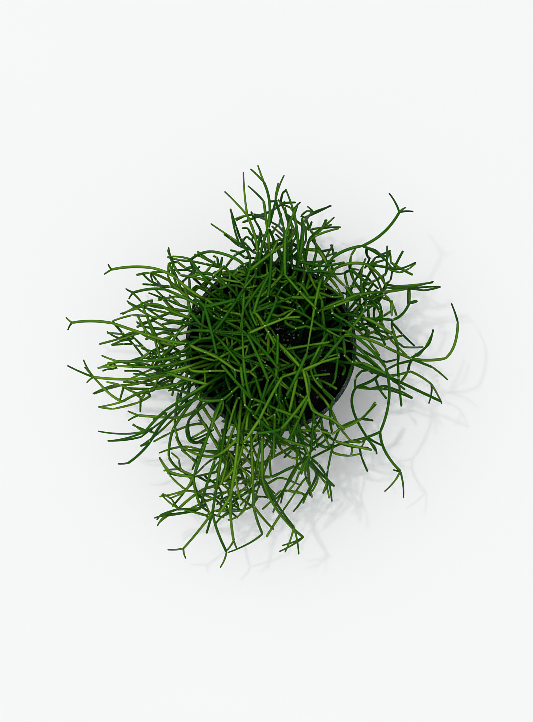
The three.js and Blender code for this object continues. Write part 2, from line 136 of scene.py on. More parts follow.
# Every cutting, the ones that arch over the rim first and the ones above the pot last.
CUTTINGS = [
    cutting("east_high", [18, 21], [[40, 58, 136], [60, 66, 140], [86, 90, 126]],
            [[80, 104, 118], [92, 95, 112], [96, 91, 122]], side(1, [[78, 57, 124]])),
    cutting("east_arm", [12, 10], [[43, 52, 128], [62, 55, 132], [78, 40, 120]],
            [[112, 45, 106]], side(1, [[86, 52, 122]], [[98, 57, 120]])),
    cutting("east_hook", [29, 6], [[54, 17, 124], [82, 18, 120], [95, 30, 108]],
            [[101, 32, 103], [96, 42, 101]]),
    cutting("east_long", [27, 15], [[49, 31, 130], [76, 37, 117], [94, 40, 109]], [[117, 42, 98]]),
    cutting("far_hook", [19, -4], [[49, 7, 134], [76, 0, 127], [95, -8, 114], [121, -8, 100], [131, 17, 92]],
            [[127, 31, 88]], side(2, [[111, -14, 106]], [[123, -23, 98]]),
            side(2, [[108, 2, 113]], [[111, 12, 110]])),
    cutting("south_east_long", [25, -8], [[53, -11, 124], [79, -20, 115], [119, -38, 92]], [],
            side(1, [[96, -17, 104], [112, -26, 95]], [[121, -40, 84], [112, -40, 82]])),
    cutting("south_east_y", [7, 15], [[48, 10, 144], [76, -14, 134], [76, -59, 98], [92, -88, 80]],
            [[82, -104, 68], [96, -109, 66], [88, -88, 71]],
            side(2, [[52, -67, 88], [26, -80, 84]], [[0, -92, 86]])),
    cutting("south_east_arch", [33, -4], [[53, -3, 120], [75, -16, 110], [60, -28, 90], [69, -64, 64]],
            [[82, -72, 56], [77, -76, 52], [66, -73, 58]], side(2, [[83, -30, 78]], [[102, -37, 70]])),
    cutting("south_east_low", [18, -16], [[36, -36, 124], [46, -55, 110], [63, -50, 97]],
            [[74, -40, 91], [72, -52, 88]]),
    cutting("east_drop", [37, 21], [[62, 19, 134], [81, 8, 128], [87, -10, 110]], [[92, -42, 86]]),
    cutting("south_fan", [9, -19], [[17, -48, 132], [24, -73, 118], [40, -93, 94]],
            [[43, -109, 84], [37, -104, 80], [45, -98, 86]],
            side(1, [[32, -86, 104], [25, -104, 88]], [[16, -117, 80]]), side(1, [[27, -96, 92]]),
            side(1, [[17, -83, 104], [9, -101, 90]], [[2, -109, 82], [7, -111, 80]])),
    cutting("south_hairpin", [-7, -33], [[-6, -61, 138], [-6, -87, 130], [23, -135, 80]],
            [[8, -143, 68], [6, -146, 76]], side(1, [[16, -126, 92]], [[20, -148, 76], [10, -145, 84]])),
    cutting("south_low", [-15, -29], [[-13, -70, 126], [-12, -110, 102], [-6, -133, 78]],
            [[-31, -149, 62]], side(1, [[2, -129, 84]])),
    cutting("south_tip", [-28, -32], [[-33, -70, 124], [-41, -116, 90], [-32, -148, 66]],
            [[-37, -161, 56]], side(1, [[-63, -145, 68]], [[-75, -147, 62], [-62, -154, 58]]),
            side(1, [[-46, -133, 76]])),
    cutting("south_mid", [-19, -18], [[-22, -65, 144], [-27, -100, 128], [-26, -135, 96]],
            [[-31, -143, 90], [-24, -142, 88]]),
    cutting("south_west_low", [-23, -37], [[-38, -77, 122], [-50, -114, 84], [-75, -120, 74]],
            [[-84, -123, 69], [-82, -129, 66]]),
    cutting("south_west_mid", [-32, -26], [[-43, -62, 128], [-53, -89, 110], [-49, -110, 94]], [],
            side(1, [[-70, -87, 98]], [[-78, -77, 93]]), side(1, [[-59, -100, 99]], [[-71, -106, 92]])),
    cutting("south_west_arch", [-29, -13], [[-47, -30, 134], [-66, -55, 118], [-71, -76, 99], [-62, -88, 86]],
            [[-54, -97, 78]]),
    cutting("south_west_pin", [-22, -26], [[-42, -37, 128], [-56, -50, 114], [-56, -65, 96]],
            [[-40, -58, 88], [-44, -68, 86]]),
    cutting("south_west_fork", [-13, -40], [[-25, -82, 118], [-45, -98, 100], [-65, -114, 84]],
            [[-78, -105, 78], [-79, -120, 74]]),
    cutting("south_west_bow", [-9, -22], [[-21, -59, 134], [-36, -73, 122], [-61, -69, 104]],
            [[-78, -74, 96]]),
    cutting("west_low", [-26, -21], [[-48, -34, 136], [-66, -44, 128], [-83, -65, 104], [-101, -82, 84]],
            [[-109, -83, 80]], side(2, [[-91, -69, 96]])),
    cutting("west_pair", [-16, -11], [[-42, -25, 144], [-71, -43, 126], [-86, -58, 112]],
            [[-121, -59, 92], [-114, -66, 88], [-95, -53, 106]]),
    cutting("west_under", [-38, -22], [[-51, -43, 116], [-70, -49, 102], [-93, -48, 90]],
            [[-101, -45, 87], [-101, -52, 84]]),
    cutting("far_west", [-32, -5], [[-53, -13, 138], [-81, -21, 126], [-123, -21, 100]],
            [[-143, -13, 90], [-131, -9, 94], [-129, -25, 92]]),
    cutting("west_cross", [-22, -2], [[-57, -23, 128], [-82, -29, 116], [-103, -38, 102]],
            [[-121, -42, 92]], side(2, [[-119, -26, 97]], [[-131, -14, 90]])),
    cutting("west_mid", [-38, 0], [[-62, -7, 134], [-85, -10, 124], [-105, -10, 110]],
            [[-117, -6, 104], [-120, -15, 100], [-113, -14, 102]]),
    cutting("west_curl", [-26, -8], [[-62, -17, 118], [-90, -25, 104], [-111, -27, 92]], [[-126, -33, 84]]),
    cutting("far_west_bar", [-30, 6], [[-57, 2, 140], [-81, 7, 130], [-108, 16, 112], [-139, 17, 94]],
            [[-144, 21, 90], [-143, 12, 88]], side(1, [[-91, 22, 116]])),
    cutting("west_short", [-40, 6], [[-65, 1, 122], [-90, 10, 108], [-105, 6, 98]],
            [[-121, 2, 88], [-115, 11, 92]]),
    cutting("north_west_low", [-29, 18], [[-54, 19, 130], [-75, 28, 120], [-90, 27, 108]],
            [[-105, 23, 97], [-100, 32, 100]]),
    cutting("north_west_mid", [-23, 9], [[-48, 27, 140], [-71, 38, 130], [-94, 37, 112]],
            [[-100, 40, 106], [-98, 33, 102]]),
    cutting("north_west_bar", [-23, 25], [[-47, 33, 128], [-65, 47, 120], [-82, 54, 112], [-111, 54, 96]],
            [[-117, 51, 91], [-114, 58, 93]]),
    cutting("north_west_short", [-35, 15], [[-55, 32, 114], [-71, 46, 102], [-84, 52, 94]],
            [[-95, 51, 87], [-82, 43, 84]]),
    cutting("north_west_fork", [-15, 21], [[-42, 43, 138], [-54, 58, 132]],
            [[-70, 61, 118]], side(0, [[-61, 48, 122], [-69, 61, 108]], [[-71, 69, 101]])),
    cutting("north_west_bow", [-6, 19], [[-18, 53, 148], [-39, 62, 144], [-54, 58, 126]], [[-52, 50, 112]]),
    cutting("north_tall", [-6, 28], [[-8, 55, 140], [-2, 77, 146], [-5, 111, 122]],
            [[-9, 124, 111], [-14, 121, 115]], side(1, [[3, 97, 130]])),
    cutting("north_pair", [-13, 33], [[-9, 63, 134], [-16, 88, 124]],
            [[-32, 107, 105], [-19, 120, 107], [-26, 86, 116]]),
    cutting("north_low", [-19, 29], [[-14, 59, 122], [-22, 71, 112]], [[-42, 86, 96], [-28, 96, 98]]),
    cutting("north_leaf", [1, 38], [[-1, 64, 132], [-5, 99, 114]], [[-16, 111, 105]]),
    cutting("north_split", [8, 29], [[11, 56, 140], [8, 79, 136], [3, 99, 121]],
            [[5, 112, 112], [9, 118, 106]]),
    cutting("north_hook", [15, 33], [[18, 61, 136], [15, 92, 122]], [[10, 108, 111], [20, 98, 118]]),
    cutting("north_east_arm", [11, 21], [[19, 59, 140], [22, 82, 127], [29, 92, 110]],
            [[42, 98, 99], [25, 97, 104]]),
    cutting("north_east_fan", [22, 29], [[23, 56, 116], [26, 73, 108], [35, 82, 100]],
            [[49, 84, 92], [38, 89, 95], [44, 90, 101]]),
    cutting("north_east_low", [30, 24], [[32, 51, 118], [38, 62, 106]], [[43, 71, 99], [46, 66, 96]]),
    cutting("core_west", [-44, 12], [[-54, 11, 122], [-37, 10, 143]], [[-15, 8, 152]]),
    cutting("core_east", [38, 28], [[33, 44, 134], [27, 18, 148]], [[23, -5, 152]]),
    cutting("core_middle", [-2, -43], [[-13, -34, 150], [-18, -8, 155]], [[-19, 20, 150]]),
    cutting("core_north", [-5, 43], [[-1, 29, 134], [12, 25, 140], [26, 18, 138], [36, 11, 136]],
            [[50, 3, 151]], side(0, [[-12, 25, 142]])),
    cutting("core_north_east", [34, 10], [[31, 23, 132], [20, 35, 144]],
            [[9, 46, 150]], side(0, [[49, 31, 136]])),
    cutting("core_long", [2, 7], [[1, 6, 126], [9, -4, 138], [22, -16, 146], [24, -35, 138], [39, -49, 126]],
            [[50, -56, 118]], side(2, [[7, -19, 150]]), side(2, [[35, -8, 147]], [[45, -5, 143]])),
    cutting("core_east_bow", [43, 6], [[38, 9, 128], [26, -13, 134], [34, -28, 136]], [[42, -35, 132]]),
    cutting("core_cross", [20, 4], [[21, 16, 122], [6, 19, 128], [-6, 13, 134]], [[-16, 10, 136]]),
    cutting("core_north_west", [-40, 22], [[-43, 33, 112], [-29, 41, 122], [-14, 37, 130]],
            [[-6, 33, 134]], side(2, [[-11, 25, 140], [-2, 10, 144]], [[3, 0, 144]])),
    cutting("core_south_west_long", [-45, -3], [[-44, 0, 122], [-33, -1, 130], [-19, -7, 138], [-3, -13, 141],
            [3, -22, 138]], [[14, -30, 132]], side(2, [[-10, -5, 145]], [[-2, -5, 148]])),
    cutting("core_west_low", [-46, -12], [[-51, -1, 128], [-35, -7, 136]], [[-23, -16, 138]]),
    cutting("core_south_west", [-40, -28], [[-33, -36, 120]],
            [[-22, -27, 130], [-39, -51, 112], [-46, -34, 116]]),
    cutting("core_south", [-9, -48], [[-11, -46, 116], [-6, -35, 128]], [[-2, -22, 138], [3, -25, 132]]),
]


# ---- Growth ----


def unit(vector):
    """The vector at length one, or as it is where it has none."""
    length = np.linalg.norm(vector)
    return vector / length if length else vector


def bezier(bend, steps):
    """Points at the given steps, from 0 to 1, along a bend's start, middle and end."""
    start, middle, end = bend
    t = steps[:, None]
    return (1 - t) * (1 - t) * start + 2 * (1 - t) * t * middle + t * t * end


def beads(centres):
    """Points strung along the straight chords between centres."""
    strung = []
    for last, following in zip(centres, centres[1:]):
        count = math.ceil(np.linalg.norm(following - last) / BEAD_SPACING)
        strung.append(last + (following - last) * (np.arange(count + 1) / count)[:, None])
    return np.vstack(strung)


class Thicket:
    """The stems grown so far, as beads, which a new stem passes clear of, and the drawn ones' outline."""

    def __init__(self):
        self.places = np.empty((0, 3))
        self.radii = np.empty(0)
        self.outline = None

    def add(self, rod):
        strung = beads(rod.centres)
        self.places = np.vstack([self.places, strung])
        self.radii = np.append(self.radii, np.full(len(strung), rod.radii[0]))

    def is_clear(self, strung, radius, gap=STEM_GAP, start=None):
        """Whether a stem's beads pass the rim and the other stems, but for those near its start."""
        reach = np.hypot(strung[:, 0], strung[:, 1])
        rim_gap = RIM_GAP + radius
        over_rim = (reach > SHOULDER_RADIUS - WALL - rim_gap) & (reach < RIM_RADIUS + rim_gap)
        if (over_rim & (strung[:, 2] < POT_HEIGHT + rim_gap)).any():
            return False
        margin = radius + LEADER_RADIUS + gap
        inside = (self.places > strung.min(0) - margin) & (self.places < strung.max(0) + margin)
        near = inside.all(1)
        if start is not None:
            near &= np.linalg.norm(self.places - start, axis=1) > FORK_LENGTH
        gaps = np.linalg.norm(strung[:, None] - self.places[near][None], axis=2)
        return bool((gaps >= radius + self.radii[near] + gap).all())


class Station:
    """A joint on a stem: where it is and which way the stem was heading there."""

    def __init__(self, at, heading):
        self.at = at
        self.heading = heading


class Rod:
    """A length of stem: its bends, the coarse centres that others keep clear of, its radii and its age."""

    def __init__(self, bends, centres, stations, radii, ages):
        self.bends = bends
        self.centres = centres
        self.stations = stations
        self.radii = radii
        self.ages = ages
        self.tone = 0.5


def stretch(last, joint, suppleness, radius, thicket, loose):
    """One bend towards a joint: it sets off along the last heading, and bends clear of the others."""
    start = last.at
    for rise, bow in LOOSE_WAYS if loose else WAYS:
        end = np.array([joint[0], joint[1], joint[2] + rise], float)
        span = end - start
        length = np.linalg.norm(span)
        ahead = start + last.heading * (length / 2)
        across = unit(np.array([span[1], -span[0], 0.0]))
        middle = start + span * 0.5
        middle = middle + (ahead - middle) * suppleness + across * bow
        bend = (start, middle, end)
        count = math.ceil(length / STEP_LENGTH)
        centres = bezier(bend, np.arange(count + 1) / count)
        strung = beads(centres)
        if loose:
            clear = dry(strung) and thicket.is_clear(strung, radius, TOUCH_GAP, start)
        else:
            clear = thicket.is_clear(strung, radius)
        if clear:
            return bend, centres, Station(centres[-1], unit(end - middle))
    return None


def run(first, joints, suppleness, radii, ages, thicket, loose=False):
    """A rod from a station through the joints, a bend to each, or None where one can't be reached."""
    bends, centres, stations = [], [first.at], []
    for joint in joints:
        last = stations[-1] if stations else first
        grown = stretch(last, joint, suppleness, radii[0], thicket, loose)
        if grown is None:
            return None
        bends.append(grown[0])
        centres.extend(grown[1][1:])
        stations.append(grown[2])
    return Rod(bends, centres, stations, radii, ages)


def rooted(place, joints, thicket, loose=False):
    """A leader from its place in the soil through its joints, with its foot in the soil, or None."""
    root = Station(np.array([*place, SOIL_TOP], float), UP)
    radii = (LEADER_RADIUS, SIDE_RADIUS)
    leader = run(root, joints, LEADER_SUPPLENESS, radii, LEADER_AGES, thicket, loose)
    if leader is not None:
        below = root.at - UP * ROOT_DEPTH
        leader.bends.insert(0, (below, (below + root.at) / 2, root.at))
        leader.centres.insert(0, below)
    return leader


def needed(rod, part, plan):
    """A rod that a cutting can't do without."""
    if rod is None:
        raise RuntimeError(f"no clear way for {part} of {plan['name']}")
    return rod


def growth(plan, thicket):
    """Every rod of one cutting, the leader first, then its sides, then the tips."""
    leader = needed(rooted(plan["root"], plan["joints"], thicket), "the leader", plan)
    rods = [leader]
    ends = [(leader.stations[-1], tip) for tip in plan["tips"]]
    for twig in plan["sides"]:
        radii = (SIDE_RADIUS, TIP_RADIUS)
        fork = leader.stations[twig["from"]]
        grown = run(fork, twig["joints"], TWIG_SUPPLENESS, radii, SIDE_AGES, thicket)
        rods.append(needed(grown, "a side", plan))
        ends.extend((grown.stations[-1], tip) for tip in twig["tips"])
    for last, tip in ends:
        radii = (TIP_RADIUS, POINT_RADIUS)
        grown = run(last, [tip], TWIG_SUPPLENESS, radii, TIP_AGES, thicket)
        rods.append(needed(grown, "a tip", plan))
    return rods


def grow_all(plans, thicket):
    """The cuttings in turn, each bent clear of those before it, as lists of rods by name."""
    grown = {}
    for plan in plans:
        rods = growth(plan, thicket)
        for rod in rods:
            thicket.add(rod)
        grown[plan["name"]] = rods
    return grown


# ---- Tangle ----

# The small twigs are drawn in plan, as they show from above, on a grid that has this many
# millimetres to a unit at the rim's height, and whose rows count downwards.
GRID = 0.698
# The points of the grid below the camera and at the middle of the pot.
GRID_EYE = (266.5, 361)
GRID_MIDDLE = (271, 347)

# A drawn twig leaves the stem that shows nearest to its first joint, where a millimetre of height
# counts as this many units of the grid. A first joint as near as this is on the stem itself.
HEIGHT_WEIGHT = 0.12
JOIN_DISTANCE = 2.5
# Other heights that a drawn twig tries for its end where it finds no room.
SPRIG_SHIFTS = (0, 7, -7, 14, -14)
# A drawn twig with more joints than this is as thick as a leader.
SPRIG_JOINTS = 3
SPRIG_SWELL = 1.08
SPRIG_AGES = (0.4, 0.85)
# Twigs thin out from here to here, to this share of their usual thickness.
THIN_FROM = RIM_RADIUS + 8
THIN_TO = RIM_RADIUS + 45
THIN_SHARE = 0.84

# Each twig: its height at the end, then its joints on the grid, from the stem that it leaves.
SPRIGS = [
    # Above the pot.
    (152, 195, 331, 217, 332, 248, 335), (150, 248, 332, 265, 326, 285, 318, 300, 317),
    (153, 284, 277, 300, 292, 316, 308),
    (138, 272, 337, 285, 350, 303, 370, 308, 395, 312, 410, 330, 418, 345, 430), (142, 303, 370, 282, 377),
    (142, 303, 370, 322, 362, 340, 357), (148, 240, 334, 243, 310, 244, 290, 250, 270),
    (140, 241, 365, 243, 385, 245, 405, 252, 412), (142, 190, 345, 205, 352, 218, 358, 235, 370, 250, 372),
    (144, 206, 345, 222, 347, 241, 358, 266, 367, 280, 380, 290, 390), (146, 243, 358, 255, 355, 268, 354),
    (150, 253, 308, 268, 296), (144, 252, 309, 268, 308, 277, 306), (150, 250, 310, 257, 326),
    (146, 254, 312, 262, 322, 268, 332, 275, 345), (140, 190, 275, 205, 272, 220, 278, 240, 282),
    (142, 200, 400, 222, 400, 232, 392, 240, 385), (138, 222, 401, 213, 423), (140, 225, 375, 230, 390),
    (146, 254, 416, 262, 400, 276, 377), (144, 262, 400, 268, 380),
    (140, 275, 380, 276, 395, 281, 405, 278, 425),
    (136, 328, 334, 322, 350, 313, 365, 318, 378, 323, 390, 333, 400), (132, 283, 350, 310, 345, 330, 342),
    (130, 297, 378, 312, 376, 330, 374), (124, 333, 335, 338, 355, 335, 380),
    (128, 343, 340, 345, 355, 352, 362, 363, 363), (142, 320, 311, 335, 306, 350, 300),
    (142, 333, 313, 345, 320, 357, 330), (136, 301, 262, 320, 266, 345, 262),
    (128, 322, 310, 325, 330, 323, 350), (132, 222, 402, 214, 415, 211, 430),
    (130, 238, 398, 232, 415, 228, 430), (134, 253, 397, 262, 402, 276, 409),
    (138, 190, 370, 210, 371, 228, 371), (136, 190, 346, 200, 339, 213, 338),
    (130, 190, 392, 205, 385, 216, 380), (126, 300, 395, 310, 402, 314, 412),
    (132, 276, 345, 292, 352, 305, 366), (140, 205, 300, 222, 310, 240, 314),
    (136, 292, 300, 306, 290, 318, 280), (132, 262, 275, 282, 282, 296, 276),
    (128, 210, 330, 222, 318, 240, 322), (130, 232, 345, 228, 360, 236, 376),
    (128, 318, 345, 334, 346, 348, 352), (128, 196, 300, 205, 307, 213, 316, 225, 321, 237, 327),
    (126, 205, 304, 214, 308, 223, 309), (120, 206, 300, 216, 299, 228, 301),
    (122, 190, 313, 199, 323, 210, 329, 222, 332), (130, 240, 300, 250, 297, 262, 296, 276, 292),
    (132, 222, 266, 230, 273, 239, 281, 247, 288), (134, 262, 248, 260, 258, 257, 268, 256, 276),
    (126, 250, 268, 248, 280, 243, 294), (124, 257, 276, 254, 285, 249, 296, 247, 306),
    (130, 258, 276, 268, 284, 280, 290, 292, 297), (128, 276, 268, 270, 281, 262, 292, 256, 303),
    (128, 290, 260, 284, 272, 275, 284, 270, 294), (126, 300, 266, 292, 277, 282, 287, 276, 298),
    (130, 238, 270, 250, 276, 262, 277, 275, 270), (126, 215, 272, 230, 274, 244, 279, 254, 288),
    (122, 200, 272, 214, 275, 226, 284, 238, 296), (120, 230, 292, 232, 305, 236, 318),
    (118, 236, 286, 238, 300, 240, 314), (122, 247, 296, 250, 308, 256, 318, 263, 327),
    (128, 266, 312, 278, 316, 288, 311, 300, 311), (126, 280, 290, 290, 297, 300, 306, 306, 316),
    (124, 300, 284, 306, 292, 312, 303, 318, 312), (126, 304, 270, 303, 282, 298, 294, 290, 303),
    (128, 312, 280, 322, 284, 334, 290, 342, 298), (122, 308, 262, 310, 275, 316, 288, 322, 300),
    (120, 320, 292, 332, 297, 344, 296), (122, 322, 316, 334, 318, 346, 326),
    (118, 285, 322, 296, 328, 306, 326, 316, 330), (120, 292, 332, 302, 326, 314, 319),
    (114, 226, 300, 236, 308, 250, 312, 262, 318), (112, 240, 322, 250, 318, 262, 322, 272, 320),
    (118, 196, 286, 208, 292, 220, 300, 230, 310), (116, 214, 290, 224, 300, 232, 312),
    (112, 290, 285, 296, 298, 298, 312), (108, 276, 300, 284, 312, 286, 324),
    (116, 316, 270, 328, 276, 338, 288, 344, 300), (132, 292, 268, 306, 271, 321, 271, 334, 277),
    (118, 318, 250, 326, 262, 333, 274, 345, 286, 352, 296), (120, 262, 398, 268, 408, 272, 420),
    (118, 280, 404, 275, 414, 262, 422), (116, 258, 404, 266, 414, 278, 420),
    (118, 285, 398, 290, 410, 288, 424), (116, 300, 410, 290, 418, 276, 420),
    (112, 250, 410, 262, 416, 270, 428), (124, 222, 322, 232, 332, 240, 344),
    (122, 214, 334, 226, 336, 240, 330), (120, 290, 345, 296, 358, 294, 372),
    (118, 224, 284, 212, 279, 202, 275, 193, 271), (112, 246, 316, 234, 316, 220, 315, 208, 319),
    (114, 240, 328, 228, 322, 214, 312, 204, 306), (110, 236, 307, 224, 303, 212, 303),
    (114, 252, 334, 248, 346, 250, 356, 258, 354), (106, 268, 424, 282, 427, 296, 429),
    # West.
    (108, 196, 298, 184, 291, 170, 286, 154, 285), (106, 186, 314, 172, 310, 158, 306, 143, 303),
    (110, 200, 327, 184, 322, 168, 320, 150, 316), (106, 192, 310, 180, 305, 168, 300, 158, 298),
    (100, 160, 369, 146, 367, 132, 365, 118, 361), (98, 150, 377, 138, 371, 124, 371),
    (94, 116, 368, 108, 369, 102, 371), (104, 168, 384, 156, 389, 144, 394),
    (102, 142, 398, 132, 391, 120, 385, 106, 382), (88, 178, 394, 176, 408, 174, 424, 178, 440, 182, 447),
    (94, 166, 413, 158, 417, 152, 420), (108, 200, 374, 184, 371, 166, 370, 152, 374),
    (106, 192, 396, 176, 390, 160, 386, 146, 384), (100, 188, 370, 184, 384, 180, 398),
    (108, 190, 261, 180, 260, 167, 257), (112, 170, 262, 168, 250),
    (106, 186, 268, 178, 262, 168, 263, 169, 273), (104, 165, 270, 150, 272, 136, 275),
    (104, 160, 288, 150, 281, 142, 273), (102, 163, 290, 157, 281, 150, 272),
    (104, 160, 288, 150, 284, 142, 284), (112, 161, 362, 155, 340, 147, 318, 141, 302, 133, 293),
    (100, 150, 314, 138, 309, 127, 302), (98, 152, 300, 136, 306, 121, 314),
    (110, 195, 312, 170, 308, 141, 302), (106, 192, 318, 168, 313, 141, 307),
    (104, 150, 318, 132, 315, 112, 321), (98, 112, 322, 122, 333, 133, 344, 143, 357),
    (100, 152, 356, 143, 347, 134, 338, 128, 332), (94, 133, 336, 121, 334, 107, 333),
    (90, 130, 336, 116, 340, 99, 344), (92, 134, 338, 122, 341, 111, 345), (98, 146, 330, 133, 335, 119, 340),
    (92, 134, 343, 124, 344, 111, 345), (96, 145, 358, 130, 361, 107, 363), (94, 150, 366, 118, 366, 97, 368),
    (84, 120, 385, 107, 389, 93, 394), (86, 150, 396, 137, 403, 113, 409, 98, 407), (86, 141, 397, 140, 412),
    (86, 124, 383, 119, 402), (86, 158, 434, 147, 431, 132, 425), (78, 152, 428, 141, 437, 107, 441),
    (84, 190, 400, 172, 420, 155, 436, 141, 446), (92, 200, 392, 180, 405, 166, 418, 150, 430),
    (92, 205, 424, 185, 427, 168, 434, 153, 442), (108, 190, 345, 175, 355, 160, 365, 145, 372, 125, 381),
    (104, 190, 383, 160, 385, 140, 383, 122, 382), (100, 172, 380, 150, 389, 140, 394, 124, 388),
    (106, 163, 340, 157, 352, 150, 370), (104, 180, 355, 160, 370, 143, 383),
    (114, 200, 315, 180, 330, 170, 345, 163, 366), (108, 190, 298, 175, 296, 157, 300),
    (100, 186, 313, 175, 310, 164, 299), (110, 195, 330, 175, 335, 160, 340, 145, 330),
    (108, 200, 322, 185, 325, 165, 320, 148, 309), (104, 180, 346, 170, 331, 154, 321),
    (112, 198, 372, 182, 366, 165, 358, 152, 357), (102, 188, 378, 176, 385, 172, 396),
    (108, 186, 340, 172, 348, 160, 352, 146, 350), (104, 180, 352, 168, 345, 156, 350, 148, 358),
    (106, 176, 362, 164, 352, 158, 340), (102, 190, 350, 176, 352, 164, 358, 152, 368),
    (104, 172, 336, 162, 346, 150, 352), (100, 168, 370, 158, 360, 146, 362),
    # South-west.
    (80, 212, 500, 187, 491, 170, 476, 159, 458), (78, 206, 506, 197, 492, 193, 480, 181, 470, 163, 471),
    (80, 218, 472, 195, 477, 178, 476, 167, 473), (84, 195, 477, 182, 470, 179, 460, 171, 453),
    (92, 200, 466, 192, 459, 182, 450, 176, 436), (88, 210, 432, 200, 452, 192, 470),
    (84, 233, 452, 213, 459, 205, 465, 195, 475), (76, 193, 482, 184, 491, 159, 497),
    (74, 200, 509, 180, 509, 172, 500, 162, 494), (76, 195, 480, 183, 494, 172, 507),
    (70, 190, 509, 176, 510, 160, 516, 156, 521), (72, 205, 508, 185, 514, 168, 516, 158, 524),
    (96, 232, 451, 205, 451, 181, 450), (70, 236, 510, 222, 517, 214, 526),
    (100, 222, 430, 226, 445, 230, 460, 232, 475, 228, 495),
    (104, 240, 430, 243, 445, 237, 465, 236, 480, 240, 500), (106, 250, 435, 252, 455, 258, 475, 262, 486),
    (108, 262, 440, 262, 460, 258, 480, 250, 495, 240, 506),
    (104, 276, 438, 270, 455, 265, 470, 258, 490, 252, 505), (92, 247, 460, 235, 472, 225, 478, 213, 486),
    (80, 258, 497, 250, 508, 230, 512, 212, 511), (86, 240, 478, 230, 490, 215, 498, 205, 502, 191, 508),
    (90, 262, 480, 248, 493, 232, 498, 216, 505), (112, 222, 481, 236, 480, 248, 480),
    (114, 232, 446, 248, 446), (106, 228, 438, 240, 452, 253, 466, 263, 479),
    (100, 258, 432, 268, 445, 276, 452), (82, 226, 493, 214, 494, 203, 494),
    (104, 202, 405, 212, 421, 221, 438, 229, 452, 233, 466), (100, 195, 410, 202, 421, 208, 430, 213, 438),
    (96, 207, 438, 197, 443, 190, 441, 186, 432, 187, 424), (94, 208, 429, 199, 434, 190, 439),
    (98, 225, 403, 218, 413, 212, 424, 208, 434, 202, 447, 198, 460, 194, 475),
    (90, 222, 455, 213, 453, 200, 450, 190, 447, 180, 447, 170, 449), (88, 182, 449, 190, 457, 196, 461),
    (84, 222, 459, 217, 464, 212, 471), (82, 222, 461, 228, 466, 234, 465),
    (88, 240, 462, 230, 472, 222, 479, 214, 489), (104, 254, 446, 258, 460, 260, 474),
    (100, 273, 444, 270, 460, 271, 478), (94, 262, 477, 269, 488, 276, 500),
    (92, 262, 477, 263, 488, 268, 499), (96, 262, 477, 252, 478, 242, 483),
    (98, 262, 477, 271, 477, 284, 471, 295, 466, 304, 461), (98, 236, 420, 238, 436, 240, 452),
    (98, 230, 424, 222, 436, 216, 448), (100, 246, 424, 240, 440, 232, 456, 228, 472),
    (96, 222, 421, 234, 425, 246, 421), (102, 250, 420, 262, 428, 275, 434),
    (100, 270, 428, 262, 438, 250, 442, 238, 440), (98, 284, 428, 275, 438, 262, 441, 250, 450),
    (100, 238, 432, 250, 436, 262, 433, 272, 424), (90, 230, 476, 240, 470, 250, 468, 258, 460),
    (88, 224, 486, 234, 476, 246, 470), (84, 226, 500, 236, 492, 248, 490, 258, 492),
    (82, 238, 506, 232, 496, 222, 500, 212, 494), (80, 244, 508, 250, 496, 246, 486),
    (80, 220, 508, 230, 504, 242, 512), (78, 206, 478, 216, 484, 222, 494, 220, 506),
    (86, 198, 478, 208, 482, 218, 478), (76, 196, 496, 206, 500, 214, 498),
    (92, 306, 458, 300, 470, 296, 482, 288, 492), (90, 306, 460, 308, 474, 311, 488),
    (88, 306, 460, 316, 470, 318, 480, 312, 492), (86, 306, 462, 318, 474, 326, 484, 329, 498),
    (76, 214, 500, 222, 508, 232, 514), (74, 200, 506, 212, 514, 224, 518),
    (76, 236, 502, 228, 512, 218, 520), (78, 222, 498, 228, 510, 238, 518),
    (74, 246, 508, 238, 516, 228, 520), (72, 206, 516, 216, 510, 228, 508),
    # South.
    (98, 282, 441, 292, 447, 301, 455), (76, 262, 497, 270, 498), (82, 250, 482, 240, 484, 228, 482),
    (98, 300, 440, 292, 450, 284, 458), (104, 318, 424, 310, 434, 300, 440),
    (92, 268, 484, 278, 478, 288, 480), (84, 297, 463, 292, 478, 283, 491, 273, 514),
    (80, 303, 494, 282, 491, 272, 501, 262, 510), (80, 306, 478, 293, 497, 283, 511),
    (82, 303, 462, 306, 478, 310, 487, 312, 498), (80, 315, 470, 317, 476, 309, 491, 297, 509),
    (80, 309, 487, 303, 504), (90, 307, 455, 318, 464, 325, 474, 330, 487, 332, 502),
    (86, 325, 481, 335, 487), (84, 327, 481, 323, 494), (96, 333, 400, 332, 432, 316, 447, 308, 455),
    (100, 331, 408, 338, 425, 350, 440, 360, 443), (96, 340, 427, 334, 442, 328, 470, 326, 480),
    (94, 325, 434, 335, 441, 352, 447, 369, 448), (98, 302, 430, 320, 431, 331, 434, 340, 428),
    (94, 302, 442, 309, 446, 320, 438, 328, 430),
    (92, 318, 445, 326, 448, 333, 445, 332, 452, 351, 456, 352, 444), (86, 359, 448, 362, 458, 368, 472),
    (88, 366, 437, 383, 446), (88, 366, 438, 374, 446, 377, 454), (92, 349, 440, 362, 443, 369, 437),
    (90, 340, 428, 352, 422, 362, 419, 376, 402), (90, 362, 419, 374, 421),
    (100, 313, 418, 315, 436, 318, 448), (102, 312, 418, 320, 428, 326, 430),
    (104, 321, 418, 323, 432, 330, 447), (98, 279, 446, 291, 458, 305, 460),
    (104, 268, 432, 284, 442, 297, 450, 306, 456), (90, 310, 447, 300, 444, 297, 432, 301, 424),
    (94, 296, 450, 297, 463, 302, 475),
    # East.
    (100, 362, 292, 361, 278, 363, 266, 366, 258), (98, 364, 268, 358, 276, 353, 283),
    (98, 366, 276, 372, 282, 379, 289), (102, 374, 282, 368, 291, 364, 300),
    (92, 383, 276, 385, 284, 384, 290), (100, 382, 297, 376, 304, 374, 314, 376, 326),
    (106, 358, 312, 364, 326, 369, 338), (108, 352, 318, 358, 308, 368, 303, 378, 308, 382, 318, 378, 328),
